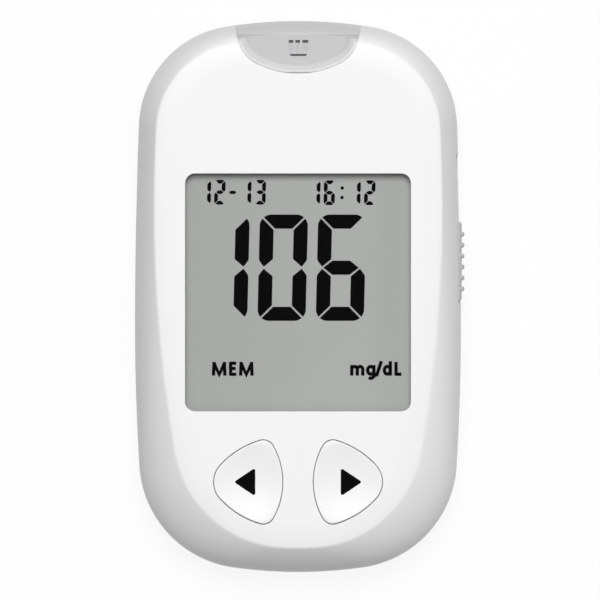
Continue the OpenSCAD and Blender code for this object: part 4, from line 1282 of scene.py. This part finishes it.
def makeReturnSpring():
    # a compression spring whose end turns lie close, drawn at rest, though the slider squeezes it as it moves
    # up
    r = (returnSpring["diameter"] - returnSpring["wire"]) / 2
    w, x, z = returnSpring["wire"] / 2, returnSpring["x"], returnSpring["z"]
    section = circle(w, (r, returnSpring["low"] + w), returnSpring["wireSides"])
    rings = []
    for i in range(returnSpring["turns"] * returnSpring["turnSteps"] + 1):
        turns = i / returnSpring["turnSteps"]
        out, over, rise = cosD(360 * turns), sinD(360 * turns), springRise(turns)
        rings.append([(x + reach * out, y + rise, z + reach * over) for reach, y in section])
    coil = loft("coil", rings)
    addPiece(coil, "returnSpring", "casing", "spring_steel", replaced="ejector_spring", sharpAngle=60)
    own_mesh(coil)


def springRise(turns):
    # the first and the last turn climb little more than a wire's thickness each
    closed = returnSpring["closedPitch"] * returnSpring["wire"]
    length = returnSpring["high"] - returnSpring["low"] - returnSpring["wire"]
    left = returnSpring["turns"] - turns
    if turns < 1:
        return turns * closed
    if left < 1:
        return length - left * closed
    return mixed(closed, length - closed, (turns - 1) / (returnSpring["turns"] - 2))


def makeFeet():
    r, soft = foot["diameter"] / 2, foot["soft"]
    profile = [(r - soft * foot["landing"], 0.0)]
    profile += [(r - soft * inset, soft * up) for up, inset in quarterRound(foot["softSteps"])]
    profile.append((r, backZ + foot["seat"]))
    pads = [turned("foot", profile, (*place, 0)) for place in screws["places"]]
    addPiece(gathered("feet", pads), "rubberFeet", "casing", "foot_rubber", replaced="rubber_feet")


makeFrontCasing()
makeRearCasing()
makeBatteryDoor()
print("casing and battery door made")
makeDisplayWindow()
makeDigits()
for label in labels:
    makeLabel(label)
print("display made")
makeKeys()
makePortInsert()
makePictogram()
print("keys and strip port made")
makeSliderPlate()
makeReturnSpring()
makeFeet()
print("ejector and feet made")

for part in frame["record"]["subparts"]:
    for place in cadNodes[part["node"]].material_slots:
        place.material = finishes[part["material_slot"]]
print("finishes given to", len(cadNodes), "nodes")


studio = {  # in metres and watts
    "floorSize": 8.0, "floorDrop": 0.00002, "shadowKeep": 0.1, "nearRadius": 0.16, "farRadius": 0.5,
    "bounce": 0.25, "ambient": 0.2, "distance": 3.0,
    # tilt is measured from straight up, and heading from the right side of the object
    "lamps": [
        {"name": "overhead", "tilt": 13.5, "heading": 92, "size": 1.15, "watts": 60.5},
        {"name": "behind", "tilt": 85, "heading": 92, "size": 1, "watts": 17},
        {"name": "left", "tilt": 75, "heading": 195, "size": 1.5, "watts": 6.0},
        {"name": "right", "tilt": 65, "heading": 0, "size": 1.5, "watts": 16.0},
    ],
}


def seenRays(finish):
    # rays that show the background as it is: to the camera, in mirrors and through glass
    camera, glossy, through = [
        finish.node("ShaderNodeLightPath", output=f"Is {kind} Ray")
        for kind in ("Camera", "Glossy", "Transmission")
    ]
    return (camera + glossy + through) > 0.5


def makeFloor():
    finish = Finish("paper_floor")
    distance = finish.node("ShaderNodeVectorMath", {"operation": "LENGTH"}, {0: finish.place}, output="Value")
    near = finish.fade(distance, studio["nearRadius"], studio["farRadius"], studio["shadowKeep"], 0.0)
    grain = finish.noise(900, 3)
    paper = finish.node(
        "ShaderNodeBsdfDiffuse",
        inputs={"Color": finish.colour(grain, (0.97, 0.97, 0.97), (0.95, 0.95, 0.95))},
    )
    white = finish.node("ShaderNodeEmission", inputs={"Color": (1, 1, 1, 1), "Strength": 1.0})
    seen = finish.mixShader(near, white, paper)
    bounced = finish.node("ShaderNodeBsdfDiffuse", inputs={"Color": (*[studio["bounce"]] * 3, 1)})
    front = finish.mixShader(seenRays(finish), bounced, seen)
    clear = finish.node("ShaderNodeBsdfTransparent")
    back = finish.node("ShaderNodeNewGeometry", output="Backfacing")
    material = finish.show(finish.mixShader(back, front, clear))
    half = studio["floorSize"] / 2
    corners = [(-half, -half), (half, -half), (half, half), (-half, half)]
    floor = newObject("floor", raised(corners, -studio["floorDrop"]), [(0, 1, 2, 3)])
    floor.data.materials.append(material)


def makeWorld():
    world = bpy.data.worlds.new("studio")
    scene.world = world
    finish = Finish("studio", world)
    dim = finish.node("ShaderNodeBackground", inputs={"Color": (1, 1, 1, 1), "Strength": studio["ambient"]})
    white = finish.node("ShaderNodeBackground", inputs={"Color": (1, 1, 1, 1), "Strength": 1.0})
    both = finish.mixShader(seenRays(finish), dim, white)
    finish.node("ShaderNodeOutputWorld", inputs={"Surface": both})


def makeLamp(lamp):
    light = bpy.data.lights.new(lamp["name"], "AREA")
    light.shape, light.size, light.energy = "DISK", lamp["size"], lamp["watts"]
    holder = bpy.data.objects.new(lamp["name"], light)
    level = studio["distance"] * sinD(lamp["tilt"])
    place = Vector((level * cosD(lamp["heading"]), level * sinD(lamp["heading"]),
                    studio["distance"] * cosD(lamp["tilt"])))
    holder.location = place
    holder.rotation_euler = (-place).to_track_quat("-Z", "Y").to_euler()
    scene.collection.objects.link(holder)


# straight down, with the strip port up; in metres, and across is the frame's width at the parting line
view = {"distance": 3.0, "across": 0.10454, "middle": (0.000348, -0.00061), "sensor": 36.0}


def makeCamera():
    camera = bpy.data.cameras.new("camera")
    camera.sensor_width = view["sensor"]
    camera.lens = view["sensor"] * (view["distance"] - partingZ * metre) / view["across"]
    holder = bpy.data.objects.new("camera", camera)
    holder.location = (*view["middle"], view["distance"])
    scene.collection.objects.link(holder)
    scene.camera = holder


makeFloor()
makeWorld()
for lamp in studio["lamps"]:
    makeLamp(lamp)
makeCamera()
scene.view_settings.view_transform = "Standard"
print("floor, light and camera made")
